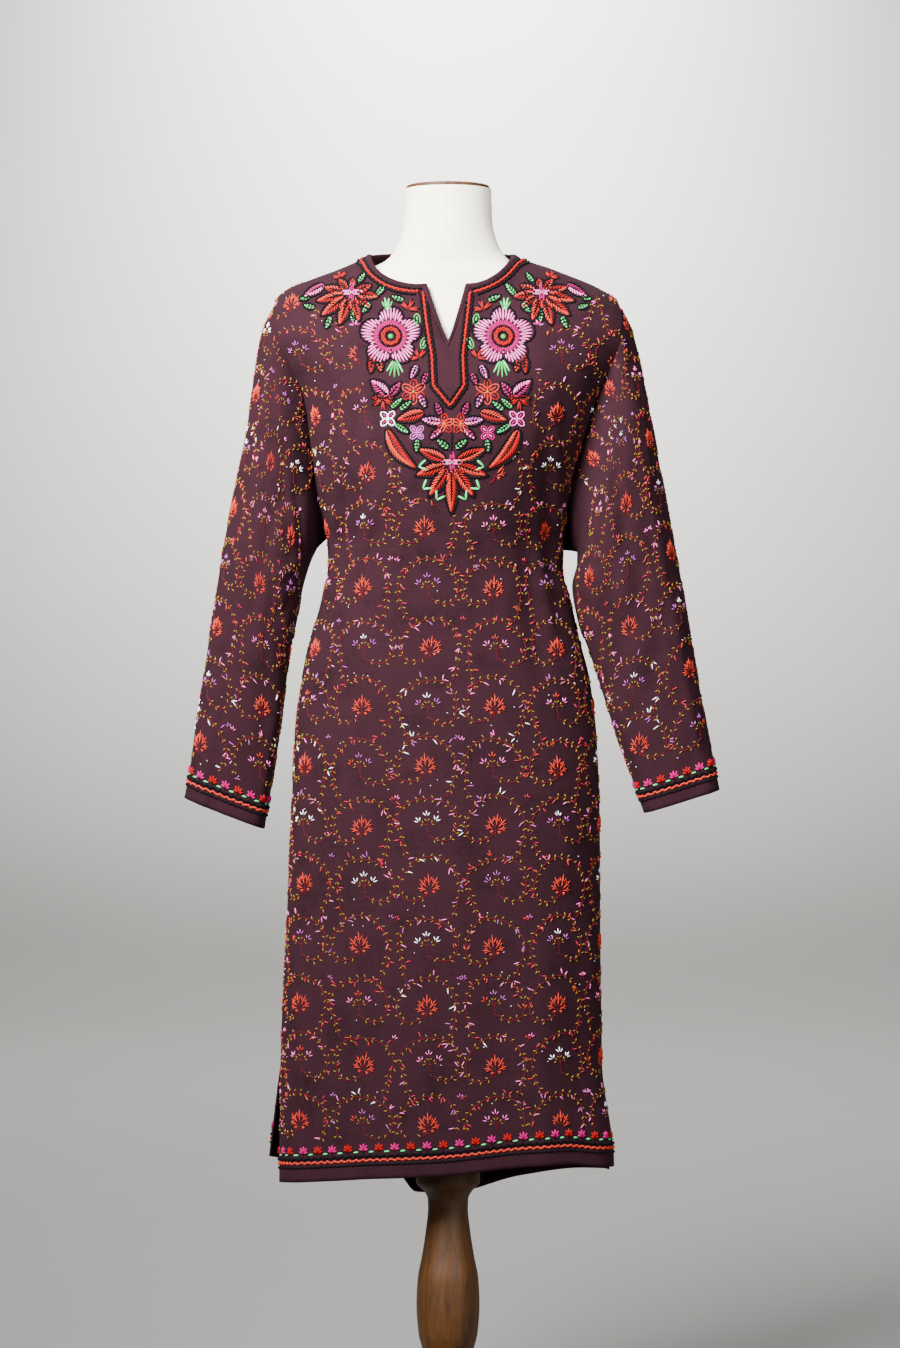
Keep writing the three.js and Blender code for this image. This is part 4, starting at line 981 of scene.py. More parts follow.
def big_flower(sewing, at, radius):
    """A round flower of five lobes: pale strokes outside, hot pink inside, a red ring and a green knot."""
    at = np.array(at)
    spoke = lambda angle: np.array([math.cos(math.radians(angle)), math.sin(math.radians(angle))])
    edge_at = lambda angle: radius * (0.57 + 0.43 * abs(math.cos(math.radians(2.5 * (angle - 90)))) ** 0.55)
    for k in range(52):
        angle = 360 * k / 52
        outer = edge_at(angle)
        sewing.ray(at, angle, radius * (0.52 if k % 2 else 0.60), outer, 2.35, "pale_pink")
        inner_end = min(outer * 0.8, radius * (0.66 if k % 2 else 0.56))
        sewing.ray(at, angle + 2, radius * 0.37, inner_end, 1.8, "hot_pink")
    sewing.rope([at + (edge_at(a) + 1.6) * spoke(a) for a in np.linspace(0, 360, 90)], 2.5, "black", 2.9)
    ring = lambda r: [at + r * spoke(a) for a in np.linspace(0, 360, 30)]
    sewing.rope(ring(radius * 0.35), 2.0, "black", 2.6)
    sewing.rope(ring(radius * 0.28), 3.2, "red", 3.4)
    sewing.rope(ring(radius * 0.22), 2.8, "red", 3.2)
    sewing.rope(ring(radius * 0.15), 2.0, "black", 2.4)
    for angle in range(0, 180, 36):
        sewing.ray(at, angle, -radius * 0.09, radius * 0.09, 2.1, "green")


def rosette(sewing, at, leaves, heart):
    """Pointed leaves that stand round a small cross flower."""
    at = np.array(at, float)
    for angle, length, width in leaves:
        way = np.array([math.cos(math.radians(angle)), math.sin(math.radians(angle))])
        strokes = max(5, round(length / 4.6))
        leaf(sewing, at + 7.0 * way, angle, length - 7.0, width, "red", "coral", strokes)
    for angle in (0, 90, 180, 270):
        yarn = heart[0] if angle in (90, 270) else heart[1]
        loop(sewing, at + 1.0, angle, 12.0, 4.6, yarn, yarn)
    sewing.ray(at, 0, -1.4, 1.4, 2.6, "green")


def small_bud(sewing, at, angle, size):
    """Three plump red petals with a coral heart, in a dark outline."""
    at = np.array(at)
    for spread, yarn in ((-68, "red"), (68, "red"), (0, "brick")):
        for lift in (-9, 9):
            sewing.ray(at, angle + spread + lift, 0.6, size, 2.6, yarn)
    for spread in (-68, 0, 68):
        turn = math.radians(angle + spread)
        way, side = np.array([math.cos(turn), math.sin(turn)]), np.array([-math.sin(turn), math.cos(turn)])
        sewing.rope([at + side * 2.6 + way, at + side * 3.2 + way * size * 0.7, at + way * (size + 1.6),
                     at - side * 3.2 + way * size * 0.7, at - side * 2.6 + way], 1.5, "black", 2.4)


def cross_flower(sewing, at, size, petal, core):
    for angle in (45, 135, 225, 315):
        loop(sewing, at, angle, size, size * 0.62, petal, core)


# Leaves of one side of the breast: out from the middle line and height of the base, angle (0 points outwards,
# 90 up), length, width, and the yarns of the two halves; "bow" bends the leaf outwards.
YOKE_LEAVES = (
    (141, 1403, -32, 27, 12, "hot_pink", "pale_pink"), (152, 1374, 18, 12, 5, "green", "mint"),
    (157, 1387, -8, 11, 5, "mint", "green"), (134, 1362, -68, 15, 5.5, "green", "mint"),
    (109, 1356, 82, 13, 5, "green", "mint"), (89, 1378, -52, 15, 6, "mint", "green"),
    (82, 1388, 128, 18, 6.5, "mint", "green"), (102, 1405, 122, 13, 5, "green", "mint"),
    (50, 1381, 22, 15, 5.5, "mint", "green"), (88, 1315, -84, 22, 9, "red", "brick"),
    (82, 1309, -104, 15, 8, "coral", "coral"), (37, 1302, -66, 18, 7, "pale_pink", "lilac"),
    (26, 1292, -68, 15, 6, "hot_pink", "hot_pink"), (72, 1265, 43, 29, 15, "pale_pink", "hot_pink"),
    (70, 1266, 127, 19, 9, "hot_pink", "hot_pink"), (70, 1251, 138, 17, 5.5, "green", "mint"),
    (60, 1249, 142, 16, 5.5, "mint", "green"), (36, 1266, -114, 16, 7, "pale_pink", "lilac"),
    (32, 1246, -16, 33, 14, "coral", "red"), (66, 1232, -146, 18, 6, "mint", "green"),
    (40, 1214, -84, 14, 6, "mint", "green"), (13, 1234, 9, 23, 10, "lilac", "pale_pink"),
    (13, 1243, 68, 15, 7, "hot_pink", "hot_pink"), (14, 1226, -43, 16, 7, "hot_pink", "pale_pink"),
    (4, 1204, 36, 16, 6.5, "green", "mint"),
)


def yoke(sewing):
    """The flowers on the breast, drawn as they are seen from the front: x from the middle and height z."""
    middle = lambda z: float(np.interp(z, [1186, 1232, 1338, 1395], [4.0, 5.5, -1.2, -2.7]))
    for m in (-1, 1):
        spot = lambda out, z: (middle(z) + m * out, z)
        turned = lambda angle: angle if m > 0 else 180 - angle
        for out, z, angle, length, width, first, second in YOKE_LEAVES:
            first, second = (first, second) if m > 0 else (second, first)
            strokes = max(4, round(length / 3.6))
            leaf(sewing, spot(out, z), turned(angle), length, width, first, second, strokes)
        leaf(sewing, spot(77, 1228), turned(-127), 59, 15, "red", "coral", 14, bow=6 * m)
        big_flower(sewing, spot(66, 1337), 36.0)
        around = [(15, 32, 11), (-13, 39, 12), (-40, 42, 13), (-72, 41, 13), (-106, 36, 12), (-140, 29, 10),
                  (-171, 32, 11), (158, 25, 10), (96, 19, 9), (52, 23, 10)]
        leaves = [(turned(angle), length, width) for angle, length, width in around]
        rosette(sewing, spot(111, 1391), leaves, ("hot_pink", "pale_pink"))
        small_bud(sewing, spot(124, 1412), turned(70), 9)
        small_bud(sewing, spot(44, 1370), turned(112), 12)
        small_bud(sewing, spot(34, 1311), turned(60), 11)
        small_bud(sewing, spot(79, 1261), turned(-90), 13)
        for side in (-1, 1):
            leaf(sewing, spot(79, 1263), turned(90 - side * 84), 13, 8, "red", "red", 4)
        for angle, tall in ((62, 15), (78, 19), (94, 18), (112, 15)):
            sewing.ray(spot(69, 1367), turned(angle), 2, tall, 2.7, "mint" if tall > 16 else "green")
        for angle, tall in ((-60, 20), (-74, 24), (-88, 25), (-102, 24), (-117, 21)):
            sewing.ray(spot(62, 1311), turned(angle), 3, tall, 2.5, "green" if tall > 23 else "mint")
        for out, z, angle in ((34, 1350, 84), (25, 1335, -72)):
            loop(sewing, spot(out, z), turned(angle), 14, 7, "green", "mint")
        for angle, yarn in ((60, "hot_pink"), (110, "pale_pink"), (160, "hot_pink"), (10, "lilac")):
            sewing.ray(spot(107, 1351), turned(angle), 1, 7, 2.3, yarn)
        for angle in range(0, 360, 60):
            yarn = "red" if angle % 120 else "coral"
            loop(sewing, spot(43, 1270), angle + 30, 15, 8.5, yarn, "brick" if angle % 120 else "coral")
        for angle in range(0, 360, 72):
            yarn = "red" if angle % 144 else "coral"
            loop(sewing, spot(9.5, 1232), turned(angle + 18), 12, 7.5, yarn, yarn)
        for out, z in ((43, 1270), (9.5, 1232)):
            sewing.ray(spot(out, z), 0, -1.6, 1.6, 3.0, "green")
        cross_flower(sewing, spot(75, 1239), 11.0, "pale_pink" if m > 0 else "white", "hot_pink")
        cross_flower(sewing, spot(41, 1222), 10.0, "hot_pink" if m > 0 else "lilac", "pale_pink")
        for out, z, angle in ((38, 1183, -10), (33, 1157, -38), (17, 1144, -60)):
            for spread in (-32, 32):
                sewing.ray(spot(out, z), turned(angle + 180 + spread), 0, 12, 3.0, "mint")
    sewing.rope([(5, 1221), (4, 1197)], 2.2, "black", 2.6)
    leaves = [
        (-90, 58, 14), (-56, 46, 14), (-124, 46, 14), (-19, 43, 14),
        (-161, 43, 14), (23, 43, 13), (157, 41, 13),
    ]
    rosette(sewing, (4, 1187), leaves, ("hot_pink", "pale_pink"))


YOKE_EDGE = [(-176, 1440), (-172, 1392), (-142, 1362), (-112, 1345), (-104, 1310), (-94, 1262), (-92, 1238),
             (-66, 1196), (-40, 1160), (2, 1122), (46, 1160), (70, 1196), (96, 1238), (98, 1262), (108, 1310),
             (116, 1345), (146, 1362), (176, 1392), (180, 1440)]


def in_outline(point, outline):
    inside = False
    for (xa, za), (xb, zb) in zip(outline, outline[1:] + outline[:1]):
        if (za > point[1]) != (zb > point[1]):
            if point[0] < xa + (xb - xa) * (point[1] - za) / (zb - za):
                inside = not inside
    return inside


def front_to_flat(places):
    """Places seen from the front, as x and height, on the flat front panel."""
    x, z = places[:, 0], places[:, 1]
    return np.stack([np.sign(x) * along_at_x("front", x >= 0, z, np.abs(x)), z], axis=1)


# --- finishes ---


def new_material(name):
    """An empty material, its node tree and its shader."""
    material = bpy.data.materials.new(name)
    material.use_nodes = True
    return material, material.node_tree, material.node_tree.nodes["Principled BSDF"]


def bump(tree, shader, strength, distance, height):
    """Fine relief, in metres, for what is too small to be modelled."""
    node = add_node(tree, "ShaderNodeBump", inputs={
        "Strength": strength, "Distance": distance, "Height": height,
    })
    tree.links.new(node.outputs["Normal"], shader.inputs["Normal"])


def two_tone(tree, shader, fac, dark, light):
    """Colours the shader between two tones, each a place on the ramp and a linear colour."""
    ramp = add_node(tree, "ShaderNodeValToRGB", inputs={"Fac": fac})
    for element, (position, colour) in zip(ramp.color_ramp.elements, (dark, light)):
        element.position = position
        element.color = (*colour, 1)
    tree.links.new(ramp.outputs["Color"], shader.inputs["Base Color"])


def wool_flannel(name, colour):
    """Felted wool flannel, woven and brushed: a soft nap over a fine weave, dull with a faint sheen."""
    material, tree, shader = new_material(name)
    flat = add_node(tree, "ShaderNodeUVMap", {"uv_map": "cloth"})
    place = add_node(tree, "ShaderNodeTexCoord")
    # fibres of the nap are about 0.02 mm thick; they are drawn as tufts of 1.8 mm, so that they show
    nap = add_node(tree, "ShaderNodeTexNoise", inputs={
        "Vector": flat.outputs["UV"], "Scale": 560.0, "Detail": 5.0, "Roughness": 0.75,
    })
    # cloudy dye and pressing marks, about 45 mm across
    cloud = add_node(tree, "ShaderNodeTexNoise", inputs={
        "Vector": place.outputs["Object"], "Scale": 22.0, "Detail": 5.0, "Roughness": 0.7,
    })
    # yarns of the ground weave lie 0.7 mm apart; they are drawn 1.4 mm apart, so that they show
    warp = add_node(tree, "ShaderNodeTexWave", {"wave_type": "BANDS", "bands_direction": "X"}, {
        "Vector": flat.outputs["UV"], "Scale": 225.0, "Distortion": 1.4, "Detail": 2.0, "Detail Scale": 3.0,
    })
    weft = add_node(tree, "ShaderNodeTexWave", {"wave_type": "BANDS", "bands_direction": "Y"}, {
        "Vector": flat.outputs["UV"], "Scale": 225.0, "Distortion": 1.4, "Detail": 2.0, "Detail Scale": 3.0,
    })
    weave = add_node(tree, "ShaderNodeMath", {"operation": "ADD"}, {
        0: warp.outputs["Fac"], 1: weft.outputs["Fac"],
    })
    shade = add_node(tree, "ShaderNodeMath", {"operation": "MULTIPLY_ADD"}, {
        0: nap.outputs["Fac"], 1: 1.0, 2: cloud.outputs["Fac"],
    })
    base = linear(colour)
    two_tone(
        tree, shader, shade.outputs["Value"],
        (0.72, [c * 0.50 for c in base]),
        (1.0, [c * 1.12 for c in base]),
    )
    relief = add_node(tree, "ShaderNodeMath", {"operation": "MULTIPLY_ADD"}, {
        0: weave.outputs["Value"], 1: 0.22, 2: nap.outputs["Fac"],
    })
    bump(tree, shader, 0.7, 0.0010, relief.outputs["Value"])
    shader.inputs["Roughness"].default_value = 0.92
    shader.inputs["Specular IOR Level"].default_value = 0.08
    shader.inputs["Sheen Weight"].default_value = 0.02
    shader.inputs["Sheen Roughness"].default_value = 0.5
    shader.inputs["Sheen Tint"].default_value = (*linear("#B0707F"), 1)
    return material


def wool_yarn(name, colour):
    """Two-ply wool embroidery yarn, twisted and laid loose: soft, slightly lustrous, uneven in its dye."""
    material, tree, shader = new_material(name)
    place = add_node(tree, "ShaderNodeTexCoord")
    # plies are twisted about every 1.6 mm
    ply = add_node(tree, "ShaderNodeTexNoise", inputs={
        "Vector": place.outputs["Object"], "Scale": 620.0, "Detail": 2.0, "Roughness": 0.6,
    })
    base = linear(colour)
    two_tone(
        tree, shader, ply.outputs["Fac"],
        (0.3, [c * 0.68 for c in base]),
        (0.7, [min(1, c * 1.22) for c in base]),
    )
    bump(tree, shader, 0.5, 0.0005, ply.outputs["Fac"])
    shader.inputs["Roughness"].default_value = 0.7
    shader.inputs["Specular IOR Level"].default_value = 0.06
    shader.inputs["Sheen Weight"].default_value = 0.02
    return material


def canvas_cover(name, colour):
    """Cotton canvas stretched over padding: plain weave, matt, off-white and a little soiled."""
    material, tree, shader = new_material(name)
    flat = add_node(tree, "ShaderNodeUVMap", {"uv_map": "cloth"})
    place = add_node(tree, "ShaderNodeTexCoord")
    # threads lie 0.6 mm apart; they are drawn 1.2 mm apart, so that they show
    warp = add_node(tree, "ShaderNodeTexWave", {"wave_type": "BANDS", "bands_direction": "X"}, {
        "Vector": flat.outputs["UV"], "Scale": 262.0, "Distortion": 0.8, "Detail": 1.0,
    })
    weft = add_node(tree, "ShaderNodeTexWave", {"wave_type": "BANDS", "bands_direction": "Y"}, {
        "Vector": flat.outputs["UV"], "Scale": 262.0, "Distortion": 0.8, "Detail": 1.0,
    })
    weave = add_node(tree, "ShaderNodeMath", {"operation": "ADD"}, {
        0: warp.outputs["Fac"], 1: weft.outputs["Fac"],
    })
    soil = add_node(tree, "ShaderNodeTexNoise", inputs={
        "Vector": place.outputs["Object"], "Scale": 14.0, "Detail": 5.0, "Roughness": 0.6,
    })
    base = linear(colour)
    two_tone(
        tree, shader, soil.outputs["Fac"],
        (0.25, (base[0] * 0.86, base[1] * 0.84, base[2] * 0.78)),
        (0.6, base),
    )
    bump(tree, shader, 0.3, 0.0004, weave.outputs["Value"])
    shader.inputs["Roughness"].default_value = 0.85
    shader.inputs["Sheen Weight"].default_value = 0.1
    return material


def turned_timber(name, dark, light):
    """Hardwood turned on a lathe and varnished: upright grain, fine pores, satin gloss."""
    material, tree, shader = new_material(name)
    place = add_node(tree, "ShaderNodeTexCoord")
    # the figure of the grain is 5 to 10 mm wide and runs upright, ten times as long
    long_way = add_node(tree, "ShaderNodeMapping", inputs={
        "Vector": place.outputs["Object"], "Scale": (1.0, 1.0, 0.12), "Location": (0.31, 0.17, 0.0),
    })
    figure = add_node(tree, "ShaderNodeTexNoise", inputs={
        "Vector": long_way.outputs["Vector"], "Scale": 95.0, "Detail": 5.0,
        "Roughness": 0.65, "Distortion": 0.8,
    })
    # pores are 0.2 mm wide; they are drawn 0.8 mm wide, so that they show
    thin_way = add_node(tree, "ShaderNodeMapping", inputs={
        "Vector": place.outputs["Object"], "Scale": (1.0, 1.0, 0.05),
    })
    pores = add_node(tree, "ShaderNodeTexNoise", inputs={
        "Vector": thin_way.outputs["Vector"], "Scale": 900.0, "Detail": 2.0, "Roughness": 0.5,
    })
    mix = add_node(tree, "ShaderNodeMath", {"operation": "MULTIPLY_ADD"}, {
        0: pores.outputs["Fac"], 1: 0.5, 2: figure.outputs["Fac"],
    })
    two_tone(
        tree, shader, mix.outputs["Value"],
        (0.45, linear(dark)),
        (0.85, linear(light)),
    )
    bump(tree, shader, 0.12, 0.0004, pores.outputs["Fac"])
    shader.inputs["Roughness"].default_value = 0.55
    shader.inputs["Specular IOR Level"].default_value = 0.25
    shader.inputs["Coat Weight"].default_value = 0.03
    shader.inputs["Coat Roughness"].default_value = 0.25
    return material


def drawn_steel(name, colour):
    """Drawn and polished steel tube: bright, with fine marks round it."""
    material, tree, shader = new_material(name)
    place = add_node(tree, "ShaderNodeTexCoord")
    marks = add_node(tree, "ShaderNodeTexNoise", inputs={
        "Vector": place.outputs["Object"], "Scale": 400.0, "Detail": 3.0, "Roughness": 0.6,
    })
    two_tone(
        tree, shader, marks.outputs["Fac"],
        (0.0, [c * 0.9 for c in linear(colour)]),
        (1.0, linear(colour)),
    )
    rough = add_node(tree, "ShaderNodeMapRange", inputs={
        "Value": marks.outputs["Fac"], "To Min": 0.2, "To Max": 0.34,
    })
    tree.links.new(rough.outputs["Result"], shader.inputs["Roughness"])
    shader.inputs["Metallic"].default_value = 1.0
    return material


def studio_wall(name, colour):
    """Matt painted wall and floor of the studio, slightly cloudy."""
    material, tree, shader = new_material(name)
    place = add_node(tree, "ShaderNodeTexCoord")
    cloud = add_node(tree, "ShaderNodeTexNoise", inputs={
        "Vector": place.outputs["Object"], "Scale": 1.6, "Detail": 4.0, "Roughness": 0.55,
    })
    two_tone(
        tree, shader, cloud.outputs["Fac"],
        (0.0, [c * 0.95 for c in linear(colour)]),
        (1.0, [c * 1.03 for c in linear(colour)]),
    )
    shader.inputs["Roughness"].default_value = 0.9
    return material


# --- values that a user of the add-on can change ---


class PheranSizes(bpy.types.PropertyGroup):
    cloth: bpy.props.FloatProperty(
        name="Cloth", description="Thickness of the wool cloth", default=0.002, min=0.0008, max=0.004,
        unit="LENGTH", precision=4,
    )
    across: bpy.props.FloatProperty(
        name="Pattern across", description="Width of one cell of the all-over embroidery", default=0.0795,
        min=0.04, max=0.16, unit="LENGTH", precision=4,
    )
    up: bpy.props.FloatProperty(
        name="Pattern up", description="Height of one cell of the all-over embroidery", default=0.070,
        min=0.04, max=0.16, unit="LENGTH", precision=4,
    )
    hem_buds: bpy.props.FloatProperty(
        name="Hem buds", description="Distance between the buds of the hem border", default=0.019,
        min=0.01, max=0.05, unit="LENGTH", precision=4,
    )
    light: bpy.props.FloatProperty(
        name="Light", description="Strength of the key light in watts", default=160.0, min=1.0, max=2000.0,
    )


def colour_property(name, description, hex_colour):
    return bpy.props.StringProperty(name=name, description=description + ", as sRGB hex", default=hex_colour)


class PheranColours(bpy.types.PropertyGroup):
    wool: colour_property("Wool", "Ground cloth", "#210D14")
    canvas: colour_property("Canvas", "Cover of the form", "#F0E9D6")
    wood_dark: colour_property("Wood grain", "Dark grain of the post", "#1E1003")
    wood_light: colour_property("Wood", "Light grain of the post", "#402405")
    foot_dark: colour_property("Foot grain", "Dark grain of the base", "#2A140A")
    foot_light: colour_property("Foot", "Light grain of the base", "#4A2813")
    steel: colour_property("Steel", "Pole", "#B9BCC0")
    wall: colour_property("Wall", "Studio wall and floor", "#706F6C")
    stem: colour_property("Stem yarn", "Stalks", "#560C18")
    red: colour_property("Red yarn", "Buds and leaves", "#7E0606")
    coral: colour_property("Coral yarn", "Plane leaves", "#A02C1C")
    hot_pink: colour_property("Hot pink yarn", "Flowers", "#8E0650")
    rose: colour_property("Rose yarn", "Loose stitches on the vine", "#9C1B33")
    pale_pink: colour_property("Pale pink yarn", "Flowers", "#CE5FA0")
    lilac: colour_property("Lilac yarn", "Buds", "#8C4688")
    white: colour_property("White yarn", "Buds", "#DBDFE2")
    green: colour_property("Green yarn", "Leaves", "#2A893D")
    mint: colour_property("Mint yarn", "Leaves", "#3CB368")
    yellow: colour_property("Yellow yarn", "Small leaves", "#7E671C")
    black: colour_property("Black yarn", "Outlines", "#040205")
    brick: colour_property("Brick yarn", "Leaves and edges", "#700E12")


# --- pieces ---

STITCH = {}
CLOTHS = {}


def ready(name):
    """A material by name, which the finishes operator has made."""
    return bpy.data.materials[name]


def cloth_grids(name):
    if name in ("front", "back"):
        return [half_panel(name, False), half_panel(name, True)]
    return [sleeve_grid(name == "sleeve_right")]


def cloth_piece(name, context):
    """Cuts one piece of the garment, gives it its thickness and keeps its pattern for the embroidery."""
    grids = cloth_grids(name)
    wall = context.scene.pheran_sizes.cloth
    piece = show("cloth_" + name, cloth_mesh(grids))
    piece.data.materials.append(ready("wool_flannel"))
    thick = piece.modifiers.new("thickness", "SOLIDIFY")
    thick.thickness = wall
    thick.offset = 0.0
    thick.use_even_offset = True
    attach(piece, "root")
    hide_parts(name)
    CLOTHS[name] = Cloth(grids, wall / MM)
    return piece


def solid_of_rings(name, rows, flat):
    """A closed solid of level rings, with flat ends."""
    mesh = cloth_mesh([(rows, flat)])
    bm = bmesh.new()
    bm.from_mesh(mesh)
    bmesh.ops.holes_fill(bm, edges=[edge for edge in bm.edges if edge.is_boundary], sides=0)
    bmesh.ops.recalc_face_normals(bm, faces=bm.faces)
    bm.to_mesh(mesh)
    bm.free()
    piece = show(name, mesh)
    sharp_edges(piece, 0.9)
    return piece


def form_rows():
    """The form's cover: level rings with shallow seams down the middle and round the neck."""
    z = np.concatenate([np.linspace(700, 1380, 60, endpoint=False), np.linspace(1380, 1522, 46)])
    turn = np.linspace(0, 2 * math.pi, 161)
    exponent = (2 / column(FORM, "z", "square", z))[:, None]
    half = column(FORM, "z", "half", z)[:, None]
    deep = np.where(
        np.sin(turn) < 0, column(FORM, "z", "front", z)[:, None], column(FORM, "z", "back", z)[:, None],
    )
    x, y = half * power(np.cos(turn), exponent), deep * power(np.sin(turn), exponent)
    seam = np.exp(-((z - 1447) / 1.6) ** 2)[:, None] * 0.9
    for middle in (1.5 * math.pi, 0.5 * math.pi):
        seam = np.maximum(seam, 0.8 * np.exp(-((turn - middle) * half / 1.6) ** 2)[:, :])
    shrink = 1 - seam / np.hypot(x, y)
    points = np.stack([x * shrink, y * shrink, np.broadcast_to(z[:, None], x.shape)], axis=-1)
    flat = np.stack([turn * half, np.broadcast_to(z[:, None], x.shape)], axis=-1)
    return points, flat


def binding_line():
    """The turned edge of the neck: its outer and inner line, round the neck and down the slit."""
    outer, inner = [], []

    def add(face, right, out, into, turned):
        sign = 1 if right else -1
        for found, (s, z) in ((outer, out), (inner, into)):
            at = body_point(face, sign * s, z)
            found.append(at[::-1] if turned else at)

    q = np.linspace(0, 1, 40)
    t = np.linspace(0, 1, 56)
    foot = SLIT_BOTTOM - BINDING_WIDTH * 1.6
    for right in (True, False):
        top = neck_line("front", right, t[:1], BINDING_WIDTH)[1][0]
        z_out, z_in = foot + (top - foot) * q, SLIT_BOTTOM + (NECK_FRONT - SLIT_BOTTOM) * q
        slit = (slit_edge(right, z_out, BINDING_WIDTH), z_out), (slit_edge(right, z_in, 0), z_in)
        front = neck_line("front", right, t, BINDING_WIDTH), neck_line("front", right, t, 0)
        back = neck_line("back", right, t, BINDING_WIDTH), neck_line("back", right, t, 0)
        if right:
            add("front", right, *slit, False)
            add("front", right, *front, False)
            add("back", right, *back, True)
        else:
            add("back", right, *back, False)
            add("front", right, *front, True)
            add("front", right, *slit, True)
    outer, inner = np.concatenate(outer), np.concatenate(inner)
    length = np.concatenate([[0], np.cumsum(np.linalg.norm(np.diff(inner + outer, axis=0), axis=1) / 2)])
    fresh = np.concatenate([[True], np.diff(length) > 0.05])
    outer, inner, length = outer[fresh], inner[fresh], length[fresh]
    at = np.linspace(0, length[-1], 520)
    pick = lambda line: np.stack([np.interp(at, length, line[:, k]) for k in range(3)], axis=1)
    return pick(outer), pick(inner), at


def binding_rows(wall):
    """The binding as rings round its line."""
    outer, inner, at = binding_line()
    across = outer - inner
    width = np.linalg.norm(across, axis=1, keepdims=True)
    across = across / np.maximum(width, 0.5)
    along = np.gradient(outer + inner, axis=0)
    out = np.cross(across, along)
    out /= np.maximum(np.linalg.norm(out, axis=1, keepdims=True), 1e-9)
    middle = (outer + inner) / 2
    out = np.where(((out * (middle - (0, 0, 1380))) * (1, 1, 0.15)).sum(1, keepdims=True) < 0, -out, out)
    turn = np.linspace(0, 2 * math.pi, 17)
    wide = (width / 2 + 0.5)[:, None] * power(np.cos(turn), 0.8)[None, :, None]
    high = (wall / 2 + 0.9) * power(np.sin(turn), 0.8)[None, :, None]
    points = middle[:, None] + across[:, None] * wide + out[:, None] * (high + 0.2)
    size = wide.shape[:2]
    flat = np.stack([np.broadcast_to(at[:, None], size), np.broadcast_to(turn * 2.4, size)], axis=-1)
    return points, flat


# --- embroidery on each piece ---


def true_height(face, z):
    """Length of the cloth up to a height, along a line 100 mm from the centre; the pattern is drawn by it."""
    levels = np.arange(290, 1461, 2.0)
    x = np.full(len(levels), 100.0)
    at = body_point(face, np.minimum(x, girth(face, True, levels)), levels)
    run = np.linalg.norm(np.diff(at[:, 1:], axis=0), axis=1)
    length = np.concatenate([[0], np.cumsum(np.minimum(run, 3.4))]) + 290
    return np.interp(z, levels, length), (length, levels)


def sew_jaal(name, context):
    """The all-over pattern of one piece of cloth."""
    sizes = context.scene.pheran_sizes
    pitch = (sizes.across / MM, sizes.up / MM)
    sewing = Sewing(len(name))
    if name in ("front", "back"):
        _, (length, levels) = true_height(name, 0)
        rise = lambda z: np.interp(z, levels, length)

        def to_flat(places):
            return np.stack([places[:, 0], np.interp(places[:, 1], length, levels)], axis=1)

        def bare(place):
            s, z = place[0], float(np.interp(place[1], length, levels))
            side = np.array([s >= 0])
            x = float(np.sign(s) * np.interp(abs(s), *across_at(name, side, z)))
            return name == "front" and in_outline((x, z), YOKE_EDGE)

        anchor = (-103.0, float(rise(903.0)))
        floor = {"front": 388.0, "back": 378.0}[name]
        jaal(sewing, (-290, 290), (float(rise(floor)), float(rise(1450))), pitch, anchor, bare)
        above_hem = []
        for row in sewing.rows:
            middle = (row[0] + row[2]) / 2
            height = np.interp((row[1] + row[3]) / 2, length, levels)
            if height > float(column(HEMS[name], "s", "z", np.array(middle))) + 47:
                above_hem.append(row)
        sewing.rows = above_hem
        return sewing.piece("embroidery_" + name, CLOTHS[name], STITCH["small"], 1.2, to_flat)
    anchor = (40.0, 150.0) if name == "sleeve_right" else (-40.0, 140.0)
    jaal(sewing, (-175, 175), (46, 640), pitch, anchor)
    return sewing.piece("embroidery_" + name, CLOTHS[name], STITCH["small"], 1.2)


def across_at(face, side, z):
    """Lengths along the cloth and their distances x, at one height."""
    x, _, length = quarter(face, side, np.array([z]))
    return length[0], x[0]


def sew_border(name, context):
    """The border along the hem or the cuff."""
    sizes = context.scene.pheran_sizes
    sewing = Sewing(7)
    if name in ("front", "back"):
        hem = HEMS[name]

        def at(s, d):
            return (s, float(column(hem, "s", "z", np.array(float(s)))) + d)

        border(sewing, at, -262, 262, sizes.hem_buds / MM)
        return sewing.piece("hem_border_" + name, CLOTHS[name], STITCH["bold"], 0.6)
    half = float(np.abs(CLOTHS[name].flat[CLOTHS[name].flat[:, 1] < 30][:, 0]).max())
    border(sewing, lambda s, d: (s, d), -half, half, 0.016 / MM, 0.92)
    return sewing.piece("cuff_border_" + name, CLOTHS[name], STITCH["bold"], 0.6)


NECK_FRAME = [(-29.5, 1391), (-25, 1352), (-18.5, 1312), (-17, 1277), (2.5, 1253), (19, 1277), (17.5, 1312),
              (22, 1352), (26, 1391)]


